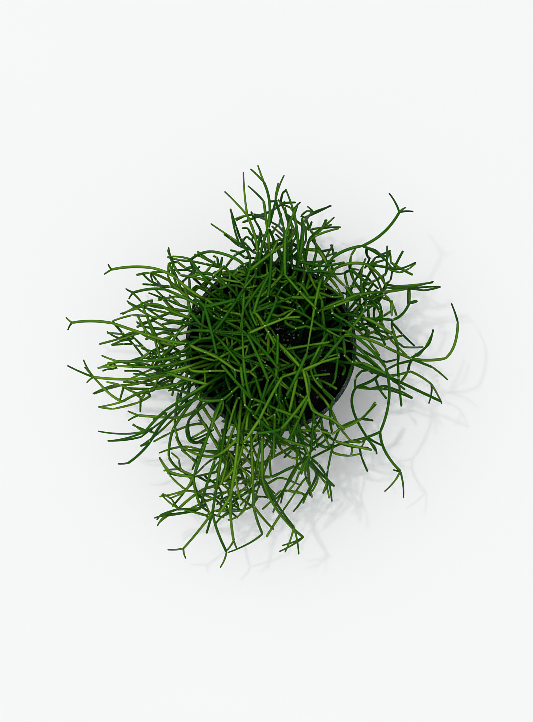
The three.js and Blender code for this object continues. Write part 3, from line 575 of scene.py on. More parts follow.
    (106, 360, 330, 352, 322, 354, 310, 364, 304), (104, 350, 300, 360, 296, 372, 300, 380, 310, 380, 322),
    (110, 356, 280, 351, 290, 356, 302, 366, 312), (104, 364, 335, 374, 332, 382, 322, 382, 310),
    (106, 366, 280, 360, 296, 362, 312, 372, 326), (102, 376, 290, 368, 306, 370, 322, 380, 334),
    (104, 356, 338, 368, 336, 382, 340, 394, 336), (108, 346, 322, 358, 330, 370, 342, 380, 356),
    (106, 352, 312, 366, 318, 378, 330, 386, 346), (104, 352, 330, 364, 324, 376, 324),
    (98, 379, 368, 362, 371, 356, 378, 355, 388), (92, 386, 386, 370, 389, 355, 388),
    (94, 374, 376, 379, 388, 387, 399), (104, 355, 356, 362, 364, 374, 374),
    (112, 350, 340, 362, 350, 376, 358, 386, 362), (112, 352, 343, 364, 354, 378, 366),
    (116, 352, 363, 368, 370, 390, 378, 406, 390), (98, 388, 386, 402, 392, 413, 398),
    (90, 398, 355, 398, 378, 402, 406), (94, 410, 364, 408, 372, 400, 384, 392, 380),
    (96, 413, 361, 398, 364, 386, 370), (104, 392, 326, 397, 340, 399, 354),
    (98, 393, 322, 402, 334, 415, 346), (94, 396, 343, 404, 347, 424, 347),
    (102, 378, 330, 388, 333, 395, 331), (100, 375, 334, 388, 338, 404, 335),
    (108, 382, 322, 387, 333, 396, 344, 408, 356), (96, 418, 356, 426, 347, 432, 335, 434, 330),
    (112, 376, 322, 384, 316, 393, 310, 392, 300), (104, 378, 296, 390, 300, 395, 308, 397, 316),
    (108, 364, 304, 376, 300, 381, 306, 380, 316, 374, 320), (110, 370, 297, 384, 295, 391, 302, 392, 316),
    (104, 379, 294, 390, 291, 408, 288, 424, 290, 440, 287), (106, 384, 284, 396, 286, 420, 284, 434, 282),
    (100, 408, 284, 409, 303, 418, 301), (104, 384, 285, 391, 280, 392, 273),
    (108, 386, 274, 387, 260, 390, 251, 391, 262), (104, 387, 260, 388, 245), (106, 380, 255, 390, 251),
    (110, 364, 246, 376, 250, 386, 260, 393, 269), (108, 371, 264, 376, 257, 386, 256),
    (106, 371, 264, 384, 260), (112, 386, 268, 400, 272, 410, 268, 416, 263),
    (116, 350, 268, 354, 280, 362, 292, 366, 305), (112, 388, 274, 376, 280, 362, 286, 350, 286),
    (110, 376, 262, 366, 280, 363, 298), (108, 370, 266, 378, 280, 383, 294, 378, 302),
    (114, 352, 268, 351, 256, 356, 248), (108, 366, 250, 370, 258, 365, 268),
    (112, 345, 272, 348, 286, 356, 300), (110, 354, 294, 366, 293, 380, 292),
    (108, 360, 320, 362, 306, 370, 296), (106, 348, 318, 360, 314, 372, 306),
    (104, 356, 330, 368, 326, 381, 330),
    # North.
    (92, 280, 206, 274, 209, 268, 212), (90, 268, 219, 260, 217, 253, 215),
    (92, 286, 232, 279, 226, 270, 221), (90, 285, 238, 278, 231, 272, 226),
    (96, 268, 250, 262, 241, 256, 235), (100, 253, 252, 247, 245, 241, 240),
    (104, 322, 262, 314, 267, 306, 264, 302, 256), (108, 292, 268, 291, 254, 289, 240, 288, 226),
    (108, 274, 264, 282, 257, 292, 257, 300, 262), (112, 282, 262, 286, 250, 284, 238),
    (108, 290, 256, 292, 244, 298, 234), (110, 270, 258, 274, 246, 272, 234),
    (106, 276, 246, 286, 240, 292, 228), (108, 264, 256, 270, 248, 280, 244),
    (112, 296, 260, 288, 250, 282, 240), (104, 335, 276, 331, 262, 334, 256, 331, 244),
    (98, 320, 252, 333, 249), (112, 312, 240, 322, 252, 328, 262, 332, 274),
    (104, 308, 241, 316, 236, 339, 228), (104, 312, 238, 322, 229, 326, 222, 327, 219),
    (102, 310, 230, 322, 228, 332, 224), (100, 309, 230, 306, 218, 301, 216, 308, 210),
    (100, 308, 229, 312, 221), (96, 303, 219, 315, 213, 331, 205), (96, 315, 213, 308, 210),
    (108, 300, 250, 306, 240, 306, 226), (110, 290, 238, 288, 222, 283, 206, 278, 199),
    (106, 296, 236, 296, 220, 294, 212, 290, 207), (106, 293, 214, 298, 203), (104, 281, 203, 296, 202),
    (104, 277, 206, 283, 203), (104, 268, 201, 277, 200), (108, 283, 192, 281, 201, 287, 214),
    (102, 266, 216, 254, 214, 246, 215, 236, 220), (104, 262, 236, 256, 222, 251, 211),
    (96, 253, 236, 248, 228, 242, 228), (98, 247, 250, 240, 238, 244, 240),
    (96, 252, 240, 247, 236, 243, 240), (98, 240, 238, 236, 226, 230, 208),
    (106, 250, 250, 240, 246, 230, 238, 224, 234), (96, 246, 258, 238, 252, 230, 250),
    (110, 262, 232, 258, 248, 256, 262, 250, 274), (108, 268, 246, 278, 240, 288, 238),
    (110, 262, 244, 272, 246, 280, 250, 284, 262), (114, 256, 236, 264, 244, 266, 256, 276, 266),
    # North-west.
    (112, 245, 250, 236, 254, 225, 268), (110, 222, 268, 212, 262, 200, 256, 194, 254),
    (106, 216, 266, 207, 258, 197, 251), (106, 218, 266, 217, 257, 213, 256), (104, 222, 266, 222, 257),
    (108, 220, 268, 205, 264, 192, 261), (114, 250, 262, 240, 266, 232, 276),
    (106, 194, 276, 194, 266, 190, 260), (102, 195, 272, 188, 270, 170, 270),
    (106, 210, 280, 200, 286, 193, 292), (104, 192, 278, 200, 284, 209, 289, 213, 284),
    (106, 204, 288, 210, 280, 217, 274), (104, 189, 290, 189, 278, 192, 273),
    (102, 184, 280, 190, 273, 200, 266), (106, 181, 292, 178, 280, 172, 268, 170, 256),
    (104, 177, 290, 174, 278, 169, 262), (108, 196, 300, 192, 310, 186, 322, 178, 330),
    (102, 172, 286, 168, 276, 168, 266), (100, 184, 304, 172, 302, 162, 296),
]

# Where the tangle is thick, as (x, y, radius, chance of a twig) on the grid, and its clear spots.
THICK = [
    (165, 350, 48, 0.9), (175, 308, 36, 0.7), (158, 385, 32, 0.6), (145, 335, 26, 0.25), (135, 380, 22, 0.15),
    (248, 465, 42, 0.5), (262, 440, 40, 1.0), (234, 505, 24, 0.25), (195, 480, 28, 0.1), (180, 425, 26, 0.1),
    (250, 290, 46, 0.65), (280, 262, 34, 1.2), (330, 290, 24, 0.7), (205, 525, 30, 0.1), (222, 428, 26, 0.3),
    (235, 345, 24, 0.5), (264, 360, 22, 0.9), (325, 375, 20, 0.5), (205, 395, 26, 0.2), (290, 240, 16, 1.0),
    (150, 385, 20, 1.1), (240, 432, 20, 1.2), (270, 445, 22, 1.4), (240, 482, 18, 0.6), (280, 458, 20, 1.5),
    (292, 440, 30, 0.8), (325, 435, 26, 0.1), (300, 470, 22, 0.2), (335, 275, 24, 0.4), (366, 300, 34, 0.15),
    (372, 335, 30, 0.15), (395, 355, 24, 0.05), (395, 382, 20, 0.3), (275, 245, 32, 0.6), (287, 218, 18, 0.6),
    (300, 250, 26, 0.2), (348, 312, 16, 0.6), (215, 272, 30, 0.03), (175, 275, 24, 0.1),
]
CLEAR = [
    (204, 290, 8), (234, 265, 6), (345, 404, 13), (352, 392, 8), (335, 285, 9), (150, 402, 8), (150, 345, 6),
    (284, 466, 12), (370, 405, 18), (372, 425, 14), (205, 410, 7), (180, 440, 8), (390, 400, 16),
    (118, 350, 9), (228, 425, 6), (212, 496, 5), (382, 311, 5), (206, 458, 9), (232, 230, 11), (262, 228, 6),
    (330, 240, 11), (404, 290, 9), (242, 241, 9), (185, 262, 7), (170, 256, 6), (290, 490, 8), (205, 475, 7),
    (390, 308, 7), (172, 490, 6), (262, 512, 8), (234, 530, 6), (172, 402, 6), (330, 492, 7), (281, 190, 5),
    (312, 210, 6), (128, 318, 7), (340, 352, 8), (355, 257, 6), (186, 460, 5), (283, 328, 8), (90, 352, 15),
]
# The least that the chance is over the pot, and anywhere else.
OVER_POT = (*GRID_MIDDLE, 84, 0.25)
OPEN_SHARE = 0.03
# The other twigs end inside this share of how far the cuttings and the drawn twigs reach within this
# many degrees of them, and pass outside this share of each clear spot.
INNER_SHARE = 0.94
REACH_TURN = 15
CLEAR_SHARE = 0.9

# Low leaders: how far out they root, and how far aside of their way in radians.
ROOT_REACH = (14, 47)
ROOT_WANDER = 0.45
# Those that end this near to the middle stay short. They bend halfway, somewhat lower than their top.
SHORT_REACH = RIM_RADIUS + 6
SHORT_TOP = (98, 132)
SHORT_WANDER = 6
SHORT_RISE = 8
# The others cross the rim just inside it and fall outwards from there by this slope, to this height.
CREST_REACH = RIM_RADIUS - 3
CREST_WANDER = 0.12
CREST_HEIGHT = POT_HEIGHT + 40
CREST_FALL = (6, 26)
CREST_LOW = POT_HEIGHT + 7
LOW_SLOPE = 0.5
LOW_END = 62
# The height at which the end of a low leader is set out on the grid.
LOW_LEVEL = POT_HEIGHT + 10

# Side twigs leave a joint at this angle in degrees, with this much lift and a pull outwards.
TWIG_TURN = (14, 55)
TWIG_LIFT = (-0.45, 0.25)
OUTWARD_PULL = 0.3
# Generations of side twigs: lengths, radii and ages.
BRANCHES = ((16, 34), (LEADER_RADIUS, SIDE_RADIUS), (0.5, 0.85))
SHOOTS = ((12, 24), (1.08, 0.86), (0.6, 0.9))
POINTS = ((4, 12), (0.94, 0.58), TIP_AGES)

# Regions of the tangle by the way they face, from the east round.
FACES = ("east", "north_east", "north", "north_west", "west", "south_west", "south", "south_east")
FACE_TURN = 360 / len(FACES)
MIDDLE_REACH = 44


def grid_scale(height):
    """Millimetres to a unit of the grid at a height, which are fewer nearer the camera."""
    return GRID * (CAMERA_HEIGHT - height) / (CAMERA_HEIGHT - POT_HEIGHT)


def off_grid(x, y, height):
    """The place at a height that shows at a point of the grid."""
    scale = grid_scale(height)
    east = CAMERA_PLACE[0] + (x - GRID_EYE[0]) * scale
    north = CAMERA_PLACE[1] - (y - GRID_EYE[1]) * scale
    return np.array([east, north, height])


def on_grid(places):
    """The points of the grid where places show."""
    scale = grid_scale(places[:, 2])
    x = GRID_EYE[0] + (places[:, 0] - CAMERA_PLACE[0]) / scale
    y = GRID_EYE[1] - (places[:, 1] - CAMERA_PLACE[1]) / scale
    return np.column_stack([x, y])


def girth(place):
    """The share of a twig's usual thickness that it has where it ends, less out over the rim."""
    return float(np.interp(math.hypot(place[0], place[1]), (THIN_FROM, THIN_TO), (1, THIN_SHARE)))


def dry(strung):
    """Whether a stem's beads stay out of the soil, the pot's wall and the floor."""
    reach = np.hypot(strung[:, 0], strung[:, 1])
    buried = (reach < RIM_RADIUS) & (strung[:, 2] < SOIL_TOP + CRUMB_HEIGHT)
    return not (buried[ROOT_BEADS:].any() or (strung[:, 2] < LEADER_RADIUS).any())


def sprout(height, corners, thicket):
    """A twig drawn on the grid, from the nearest stem through its joints, or None."""
    corners = np.array(corners, float).reshape(-1, 2)
    apart = np.linalg.norm(on_grid(thicket.places) - corners[0], axis=1)
    nearest = (apart + np.abs(thicket.places[:, 2] - height) * HEIGHT_WEIGHT).argmin()
    at = thicket.places[nearest]
    if apart[nearest] < JOIN_DISTANCE:
        corners = corners[1:]
    steps = np.arange(1, len(corners) + 1) / len(corners)
    heights = [at[2] + (height - at[2]) * math.sqrt(step) for step in steps]
    joints = [off_grid(x, y, level) for (x, y), level in zip(corners, heights)]
    start = Station(at, unit(joints[0] - at))
    thick = LEADER_RADIUS if len(joints) > SPRIG_JOINTS else SIDE_RADIUS
    slim = girth(joints[-1])
    radii = (thick * SPRIG_SWELL * slim, TIP_RADIUS * slim)
    return run(start, joints, TWIG_SUPPLENESS, radii, SPRIG_AGES, thicket, loose=True)


def from_middle(x, y):
    """Which way points of the grid lie from the middle of the pot, in degrees, and how far."""
    east, north = x - GRID_MIDDLE[0], GRID_MIDDLE[1] - y
    return np.degrees(np.arctan2(north, east)), np.hypot(east, north)


class Outline:
    """How far the stems with these beads reach on the grid."""

    def __init__(self, places):
        self.turns, self.reaches = from_middle(*on_grid(places).T)

    def holds(self, x, y):
        """Whether a point of the grid is well inside the reach of the stems on its side."""
        turn, reach = from_middle(x, y)
        apart = np.abs((self.turns - turn + 180) % 360 - 180)
        return reach <= self.reaches[apart <= REACH_TURN].max(initial=0) * INNER_SHARE


def fits(place, crowding, outline):
    """Whether a twig may end at a place: inside the outline, off the clear spots and in a thick part."""
    x, y = on_grid(place[None])[0]
    if not outline.holds(x, y) or any(math.hypot(x - cx, y - cy) < radius for cx, cy, radius in CLEAR):
        return False
    regions = (*THICK, OVER_POT)
    shares = [share for cx, cy, radius, share in regions if math.hypot(x - cx, y - cy) < radius]
    return crowding < max(shares, default=OPEN_SHARE)


def keeps_clear(rod):
    """Whether a rod passes the clear spots of the tangle."""
    x, y = on_grid(beads(rod.centres)).T
    return all((np.hypot(x - cx, y - cy) > radius * CLEAR_SHARE).all() for cx, cy, radius in CLEAR)


def turned_heading(heading, turn, lift):
    """A heading turned about the vertical and lifted."""
    flat = unit(np.array([heading[0], heading[1], 0.0]))
    across = np.array([-flat[1], flat[0], 0.0])
    return unit(flat * math.cos(turn) + across * math.sin(turn) + UP * lift)


def understory(draw, thicket, count):
    """Leaders that arch low over the rim under the others, or stay short inside the pot."""
    rods = []
    weights = [share * radius * radius for _, _, radius, share in THICK]
    for _ in range(count):
        cx, cy, radius, _ = draw.choices(THICK, weights)[0]
        turn, reach = draw.uniform(0, 2 * math.pi), radius * math.sqrt(draw.random())
        fall = draw.uniform(*CREST_FALL)
        x, y, _ = off_grid(cx + reach * math.cos(turn), cy + reach * math.sin(turn), LOW_LEVEL)
        out = math.hypot(x, y)
        way = math.atan2(y, x)
        root_turn = way + draw.uniform(-ROOT_WANDER, ROOT_WANDER)
        root_reach = draw.uniform(*ROOT_REACH)
        place = (root_reach * math.cos(root_turn), root_reach * math.sin(root_turn))
        if out < SHORT_REACH:
            top = draw.uniform(*SHORT_TOP)
            aside = [draw.uniform(-SHORT_WANDER, SHORT_WANDER) for _ in place]
            bend = [(x + place[0]) / 2 + aside[0], (y + place[1]) / 2 + aside[1], top - SHORT_RISE]
            end = [x, y, top]
        else:
            turn = way + draw.uniform(-CREST_WANDER, CREST_WANDER)
            height = CREST_HEIGHT - fall
            bend = [CREST_REACH * math.cos(turn), CREST_REACH * math.sin(turn), max(height, CREST_LOW)]
            end = [x, y, max(height - (out - CREST_REACH) * LOW_SLOPE, LOW_END)]
        if not fits(np.array(end), 0, thicket.outline):
            continue
        leader = rooted(place, [bend, end], thicket, loose=True)
        if leader is not None and keeps_clear(leader):
            thicket.add(leader)
            rods.append(leader)
    return rods


def branchlets(rods, draw, thicket, chance, lengths, radii, ages):
    """One generation of side twigs from the joints of the rods, where there is room for them."""
    twigs = []
    for rod in rods:
        for station in rod.stations:
            for side_turn in (-1, 1):
                if draw.random() > chance:
                    continue
                turn = side_turn * math.radians(draw.uniform(*TWIG_TURN))
                length = draw.uniform(*lengths)
                heading = turned_heading(station.heading, turn, draw.uniform(*TWIG_LIFT))
                outwards = station.at * (1, 1, 0) / RIM_RADIUS
                heading = unit(heading + outwards * OUTWARD_PULL)
                end = station.at + heading * length
                if not fits(end, draw.random(), thicket.outline):
                    continue
                slim = [radius * girth(end) for radius in radii]
                twig = run(station, [end], SHOOT_SUPPLENESS, slim, ages, thicket, loose=True)
                if twig is not None and keeps_clear(twig):
                    thicket.add(twig)
                    twigs.append(twig)
    return twigs


def face(rod):
    """The region of the tangle that a rod ends in."""
    x, y, _ = rod.centres[-1]
    if math.hypot(x, y) < MIDDLE_REACH:
        return "middle"
    return FACES[round(math.degrees(math.atan2(y, x)) / FACE_TURN) % len(FACES)]


def tangle(stems, grown, thicket):
    """The rods of the tangle by region: drawn twigs, low leaders and the side twigs of them all."""
    draw = random.Random(stems.seed)
    drawn = []
    for height, *corners in SPRIGS:
        for shift in SPRIG_SHIFTS:
            twig = sprout(height + shift, corners, thicket)
            if twig is not None:
                thicket.add(twig)
                drawn.append(twig)
                break
    thicket.outline = Outline(thicket.places)
    low = understory(draw, thicket, stems.low_leaders)
    known = [rod for rods in grown.values() for rod in rods]
    sides = branchlets(known + drawn + low, draw, thicket, stems.side_chance, *BRANCHES)
    sides += branchlets(low + sides, draw, thicket, stems.side_chance, *SHOOTS)
    tips = branchlets(drawn + low + sides, draw, thicket, stems.tip_chance, *POINTS)
    regions = {}
    for rod in drawn + low + sides + tips:
        regions.setdefault(face(rod), []).append(rod)
    return regions


# ---- Settings ----


def length_setting(name, description, millimetres):
    length = millimetres * MM
    return FloatProperty(name=name, description=description, default=length, unit="LENGTH", precision=5)


def share_setting(name, description, share):
    return FloatProperty(name=name, description=description, default=share, min=0, max=1, subtype="FACTOR")


def strength_setting(name, description, strength):
    return FloatProperty(name=name, description=description, default=strength, min=0)


def count_setting(name, description, count, least=0):
    return IntProperty(name=name, description=description, default=count, min=least)


def colour_setting(name, description, *channels):
    return FloatVectorProperty(
        name=name, description=description, default=(*channels, 1), subtype="COLOR", size=4, min=0, max=1)


class PotSettings(bpy.types.PropertyGroup):
    """Sizes and colours of the nursery pot."""

    sides: count_setting("Sides", "Flats round the pot", 144, 24)
    rounding: length_setting("Rounding", "Radius of the pot's moulded edges", 0.5)
    plastic: colour_setting("Plastic", "Colour of the clean plastic", 0.003, 0.016, 0.013)
    bloom: colour_setting("Bloom", "Colour of the plastic where it is scuffed and dry", 0.010, 0.034, 0.028)
    # This nearly black colour is given to the whole inner wall, every face of the pot that looks inwards.
    peat: colour_setting("Peat", "Colour of the wet peat on the inner wall", 0.0008, 0.0012, 0.0010)
    dust: colour_setting("Dust", "Colour of the dust and dried water on the rim", 0.26, 0.30, 0.28)


class SoilSettings(bpy.types.PropertyGroup):
    """Sizes, counts and colours of the potting soil."""

    seed: count_setting("Seed", "Draw of the grains and chips", 7)
    rings: count_setting("Rings", "Rings of the soil's upper surface", 64, 8)
    sides: count_setting("Sides", "Flats round the soil", 216, 24)
    relief: length_setting("Relief", "Height of the grains that stand out of the surface", 1.1)
    chips: count_setting("Chips", "Pieces of bark and peat on the surface", 420)
    grains: count_setting("Grains", "Grains of perlite on the surface", 90)
    wet: colour_setting("Wet", "Colour of the moist peat", 0.0005, 0.0008, 0.0010)
    dry: colour_setting("Dry", "Colour of the dry crumbs", 0.0036, 0.0042, 0.0044)
    bark: colour_setting("Bark", "Colour of the bark chips", 0.0050, 0.0048, 0.0042)
    perlite: colour_setting("Perlite", "Colour of the perlite", 0.20, 0.20, 0.18)


class StemSettings(bpy.types.PropertyGroup):
    """Sizes and colours of the stems."""

    seed: count_setting("Seed", "Draw of the wool and the small twigs", 9)
    step: length_setting("Step", "Spacing of the rings along a stem", 1.6)
    pinch: share_setting("Pinch", "Share of its thickness that a stem loses at a joint", 0.2)
    pinch_length: length_setting("Pinch length", "Length over which a stem narrows at a joint", 1.6)
    wool: length_setting("Wool", "Radius of the tuft of wool at a joint", 0.6)
    low_leaders: count_setting("Low leaders", "Leaders tried under the drawn ones", 200)
    side_chance: share_setting("Side twigs", "Chance of a twig on each side of a joint", 0.38)
    tip_chance: share_setting("Tips", "Chance of a short tip on each side of a joint", 0.26)
    fresh: colour_setting("Fresh", "Colour of the young, well lit skin", 0.130, 0.272, 0.012)
    mature: colour_setting("Mature", "Colour of the older skin", 0.028, 0.134, 0.0024)
    # Deep is the older skin's deep green, and also the painted shade on the undersides, low down and over the
    # pot.
    deep: colour_setting("Deep", "Colour of the skin low in the tangle", 0.0016, 0.050, 0.0010)
    tip: colour_setting("Tip", "Colour of the dull tips", 0.040, 0.095, 0.011)
    husk: colour_setting("Husk", "Colour of the dried ends of some tips", 0.034, 0.028, 0.017)
    fleece: colour_setting("Fleece", "Colour of the wool", 0.40, 0.46, 0.27)


class StageSettings(bpy.types.PropertyGroup):
    """The floor, the lights and the camera."""

    floor_size: length_setting("Floor", "Side of the floor", 6000)
    floor_colour: colour_setting("Floor colour", "Colour of the floor", 0.85, 0.862, 0.856)
    sky: strength_setting("Sky", "Strength of the soft light from all round", 0.45)
    softbox: strength_setting("Softbox", "Strength of the broad light from above", 3.3)
    lamp_power: strength_setting("Lamp", "Power of the key lamp in watts", 2.5)
    lamp_size: length_setting("Lamp size", "Side of the key lamp", 28)


SETTINGS = {
    "cactus_pot": PotSettings,
    "cactus_soil": SoilSettings,
    "cactus_stems": StemSettings,
    "cactus_stage": StageSettings,
}


# ---- Finishes ----

# The stems are youngest to the south-west, and painted shade makes the floor least bright to the north-west.
YOUNG_WAY = (-0.6, -0.8, 0)
FAR_WAY = (-0.7, 0.7, 0)


class Value:
    """A number or colour that varies over a surface. Arithmetic on it adds Math nodes."""

    def __init__(self, finish, socket):
        self.finish = finish
        self.socket = socket

    def maths(self, operation, first, second=0.0, clamped=False):
        settings = {"operation": operation, "use_clamp": clamped}
        return self.finish.node("ShaderNodeMath", settings, {0: first, 1: second})

    def __add__(self, other):
        return self.maths("ADD", self, other)

    def __sub__(self, other):
        return self.maths("SUBTRACT", self, other)

    def __rsub__(self, other):
        return self.maths("SUBTRACT", other, self)

    def __mul__(self, other):
        return self.maths("MULTIPLY", self, other)

    def __pow__(self, other):
        return self.maths("POWER", self, other)

    def between(self, low, high):
        """0 below low, 1 above high and even between them."""
        return self.maths("MULTIPLY", self - low, 1 / (high - low), clamped=True)


class Finish:
    """A material, or the world, and its nodes."""

    def __init__(self, name, kind="materials"):
        self.owner = getattr(bpy.data, kind).new(name)
        self.owner.use_nodes = True
        self.tree = self.owner.node_tree
        self.tree.nodes.clear()

    def node(self, kind, settings, sockets, output=0):
        """Adds a node with its settings and sockets, and returns one of its outputs, if it has any."""
        node = self.tree.nodes.new(kind)
        for name, value in settings.items():
            setattr(node, name, value)
        for name, value in sockets.items():
            if isinstance(value, Value):
                self.tree.links.new(value.socket, node.inputs[name])
            else:
                node.inputs[name].default_value = value
        return Value(self, node.outputs[output]) if node.outputs else None

    def place(self):
        return self.node("ShaderNodeTexCoord", {}, {}, "Object")

    def normal(self):
        return self.node("ShaderNodeNewGeometry", {}, {}, "Normal")

    def height(self, vector):
        return self.node("ShaderNodeSeparateXYZ", {}, {"Vector": vector}, "Z")

    def along(self, vector, way):
        """How far a vector reaches along a way."""
        return self.node("ShaderNodeVectorMath", {"operation": "DOT_PRODUCT"}, {0: vector, 1: way}, "Value")

    def attribute(self, name):
        return self.node("ShaderNodeAttribute", {"attribute_name": name}, {}, "Fac")

    def noise(self, place, size, detail=3.0, roughness=0.55, distortion=0.0):
        """Cloudy noise with blots of about the given size in millimetres."""
        sockets = {"Vector": place, "Scale": 1 / (size * MM), "Detail": detail, "Roughness": roughness,
                   "Distortion": distortion}
        return self.node("ShaderNodeTexNoise", {}, sockets)

    def cells(self, place, size):
        """Distance from the middle of a cell, for cells of about the given size in millimetres."""
        return self.node("ShaderNodeTexVoronoi", {}, {"Vector": place, "Scale": 1 / (size * MM)}, "Distance")

    def mix(self, factor, first, second):
        """A colour between two colours."""
        return self.node("ShaderNodeMix", {"data_type": "RGBA"}, {0: factor, 6: first, 7: second}, 2)

    def stretched(self, place, x, y, z):
        """A place with each axis scaled, for patterns that run one way."""
        return self.node("ShaderNodeVectorMath", {"operation": "MULTIPLY"}, {0: place, 1: (x, y, z)})

    def raised(self, relief, strength, depth):
        """The normal of a surface with a relief of a depth in millimetres."""
        sockets = {"Height": relief, "Strength": strength, "Distance": depth * MM}
        return self.node("ShaderNodeBump", {}, sockets)

    def surface(self, colour, roughness, shine, normal=None):
        """Ends the material in one Principled shader and returns the material."""
        sockets = {"Base Color": colour, "Roughness": roughness, "Specular IOR Level": shine}
        if normal is not None:
            sockets["Normal"] = normal
        shader = self.node("ShaderNodeBsdfPrincipled", {}, sockets)
        self.node("ShaderNodeOutputMaterial", {"target": "ALL"}, {"Surface": shader})
        return self.owner


def pot_plastic(pot):
    """Dark blue-green moulded plastic, dusty on the lip and scuffed on the wall."""
    finish = Finish("pot_plastic")
    place = finish.place()
    height = finish.height(place)
    streaks = finish.noise(finish.stretched(place, 1, 1, 0.12), 2.2, 4)
    blots = finish.noise(place, 9, 5, 0.65)
    grit = finish.noise(place, 0.7, 2, 0.7)
    scuffs = (blots * 0.6 + streaks * 0.4).between(0.42, 0.72)
    on_lip = height.between((POT_HEIGHT - COLLAR_HEIGHT) * MM, POT_HEIGHT * MM)
    flecks = grit.between(0.55, 0.63) * blots.between(0.36, 0.56) * (on_lip * 0.85 + 0.15)
    film = finish.noise(place, 4, 4).between(0.5, 0.8) * on_lip * 0.15
    worn = finish.mix(scuffs * 0.7, pot.plastic, pot.bloom)
    colour = finish.mix((flecks + film).between(0, 1), worn, pot.dust)
    outward = finish.along(finish.stretched(place, 1, 1, 0), finish.normal())
    # Every face that looks inwards, the whole inner wall, is made nearly black.
    colour = finish.mix((1 - outward.between(-0.03, -0.01)) * 0.9, colour, pot.peat)
    rough = (scuffs * 0.15 + flecks * 0.3 + 0.36).between(0, 1)
    relief = streaks * 0.3 + grit * 0.25 + flecks
    return finish.surface(colour, rough, 0.12, finish.raised(relief, 0.35, 0.08))


def moist_soil(soil):
    """Nearly black peat, with drier crumbs on its high spots."""
    finish = Finish("moist_soil")
    place = finish.place()
    clumps = finish.noise(place, 3.5, 5, 0.7)
    fibres = finish.noise(finish.stretched(place, 1, 0.3, 1), 0.9, 4, 0.7, 0.6)
    specks = finish.cells(place, 1.3)
    dry = (clumps * 0.6 + fibres * 0.4).between(0.5, 0.72)
    colour = finish.mix(dry, soil.wet, soil.dry)
    colour = finish.mix((1 - specks.between(0.05, 0.16)) * 0.35, colour, soil.bark)
    dust = (1 - finish.cells(place, 1.5).between(0.14, 0.20)) * finish.noise(place, 8, 2).between(0.40, 0.55)
    colour = finish.mix(dust * 0.7, colour, soil.perlite)
    rough = (dry * 0.25 + 0.68).between(0, 1)
    relief = clumps + fibres * 0.5
    return finish.surface(colour, rough, 0.08, finish.raised(relief, 0.8, 0.7))


def bark_chip(soil):
    """Dark brown chips of bark, streaked along their grain."""
    finish = Finish("bark_chip")
    place = finish.place()
    grain = finish.noise(finish.stretched(place, 1, 0.25, 1), 0.8, 4, 0.7)
    patches = finish.noise(place, 6, 2)
    colour = finish.mix(grain.between(0.4, 0.7), soil.wet, soil.bark)
    colour = finish.mix(patches.between(0.45, 0.65) * 0.6, colour, soil.dry)
    return finish.surface(colour, grain * 0.3 + 0.6, 0.08, finish.raised(grain, 0.7, 0.25))


def perlite_grain(soil):
    """Dull white perlite, stained by the soil."""
    finish = Finish("perlite_grain")
    place = finish.place()
    pores = finish.cells(place, 0.5)
    stain = finish.noise(place, 2.4, 3).between(0.42, 0.68)
    colour = finish.mix(stain * 0.85, soil.perlite, soil.dry)
    return finish.surface(colour, pores * 0.2 + 0.75, 0.2, finish.raised(pores, 0.6, 0.2))


def stem_skin(stems):
    """Waxy green skin: yellow-green where it is young or to the south-west, dull at the tips and joints,
    brown at the dried ends of a few stems; painted light high up, out past the rim and on faces that look
    up, and painted shade in deep green low down, over the pot and on the undersides."""
    finish = Finish("stem_skin")
    place = finish.place()
    level = finish.stretched(place, 1, 1, 0)
    reach = finish.node("ShaderNodeVectorMath", {"operation": "LENGTH"}, {0: level}, "Value")
    grown = finish.attribute("grown")
    joint = finish.attribute("joint")
    tone = finish.attribute("tone")
    patches = finish.noise(place, 26, 2, 0.5)
    mottle = finish.noise(place, 1.5, 4, 0.65)
    flecks = finish.cells(place, 0.55)
    # Painted light and shade by place: stems high up and out past the rim are made lighter, those low down
    # and over the pot darker.
    over_pot = 1 - reach.between(45 * MM, 70 * MM)
    high = (finish.height(place) - over_pot * (34 * MM)).between(70 * MM, 104 * MM)
    outer = reach.between(50 * MM, 90 * MM)
    # Painted light: faces that look up are made lighter and yellower, and painted shade makes the undersides
    # darker.
    painted_top_light = finish.height(finish.normal()).between(0.1, 0.95)
    young_side = finish.along(place, YOUNG_WAY).between(-100 * MM, 100 * MM)
    # The skin's tone and patches, with the painted light and shade of height, reach and facing added in.
    youth_and_painted_light = high * 0.1 + outer * 0.12 + tone * 0.6 + painted_top_light * 0.35 + young_side * 0.22
    youth_and_painted_light = youth_and_painted_light + (patches - 0.5) * 0.7 + (mottle - 0.5) * 0.3 - 0.3
    colour = finish.mix(youth_and_painted_light.between(0, 0.55), stems.deep, stems.mature)
    colour = finish.mix(youth_and_painted_light.between(0.5, 1), colour, stems.fresh)
    # Painted shade: the undersides are mixed towards the deep green.
    colour = finish.mix((1 - painted_top_light) * 0.6, colour, stems.deep)
    dull = grown.between(0.86, 1.0) * 0.8 + joint * 0.35 * mottle.between(0.35, 0.7)
    colour = finish.mix(dull.between(0, 1), colour, stems.tip)
    pale = (1 - flecks.between(0.06, 0.14)) * 0.25
    colour = finish.mix(pale, colour, stems.fresh)
    dried = grown.between(0.93, 0.97) * (1 - tone.between(0.14, 0.18)) * 0.85
    colour = finish.mix(dried, colour, stems.husk)
    rough = (mottle * 0.22 + joint * 0.2 + 0.34).between(0, 1)
    relief = mottle * 0.6 + flecks * 0.4
    return finish.surface(colour, rough, 0.06, finish.raised(relief, 0.3, 0.12))


def joint_wool(stems):
    """Cream wool that fills the pores at the joints and tips."""
    finish = Finish("joint_wool")
    place = finish.place()
    tufts = finish.noise(place, 0.35, 3, 0.7)
    colour = finish.mix(tufts.between(0.25, 0.5), stems.tip, stems.fleece)
    return finish.surface(colour, tufts * 0.2 + 0.75, 0.2, finish.raised(tufts, 0.8, 0.15))


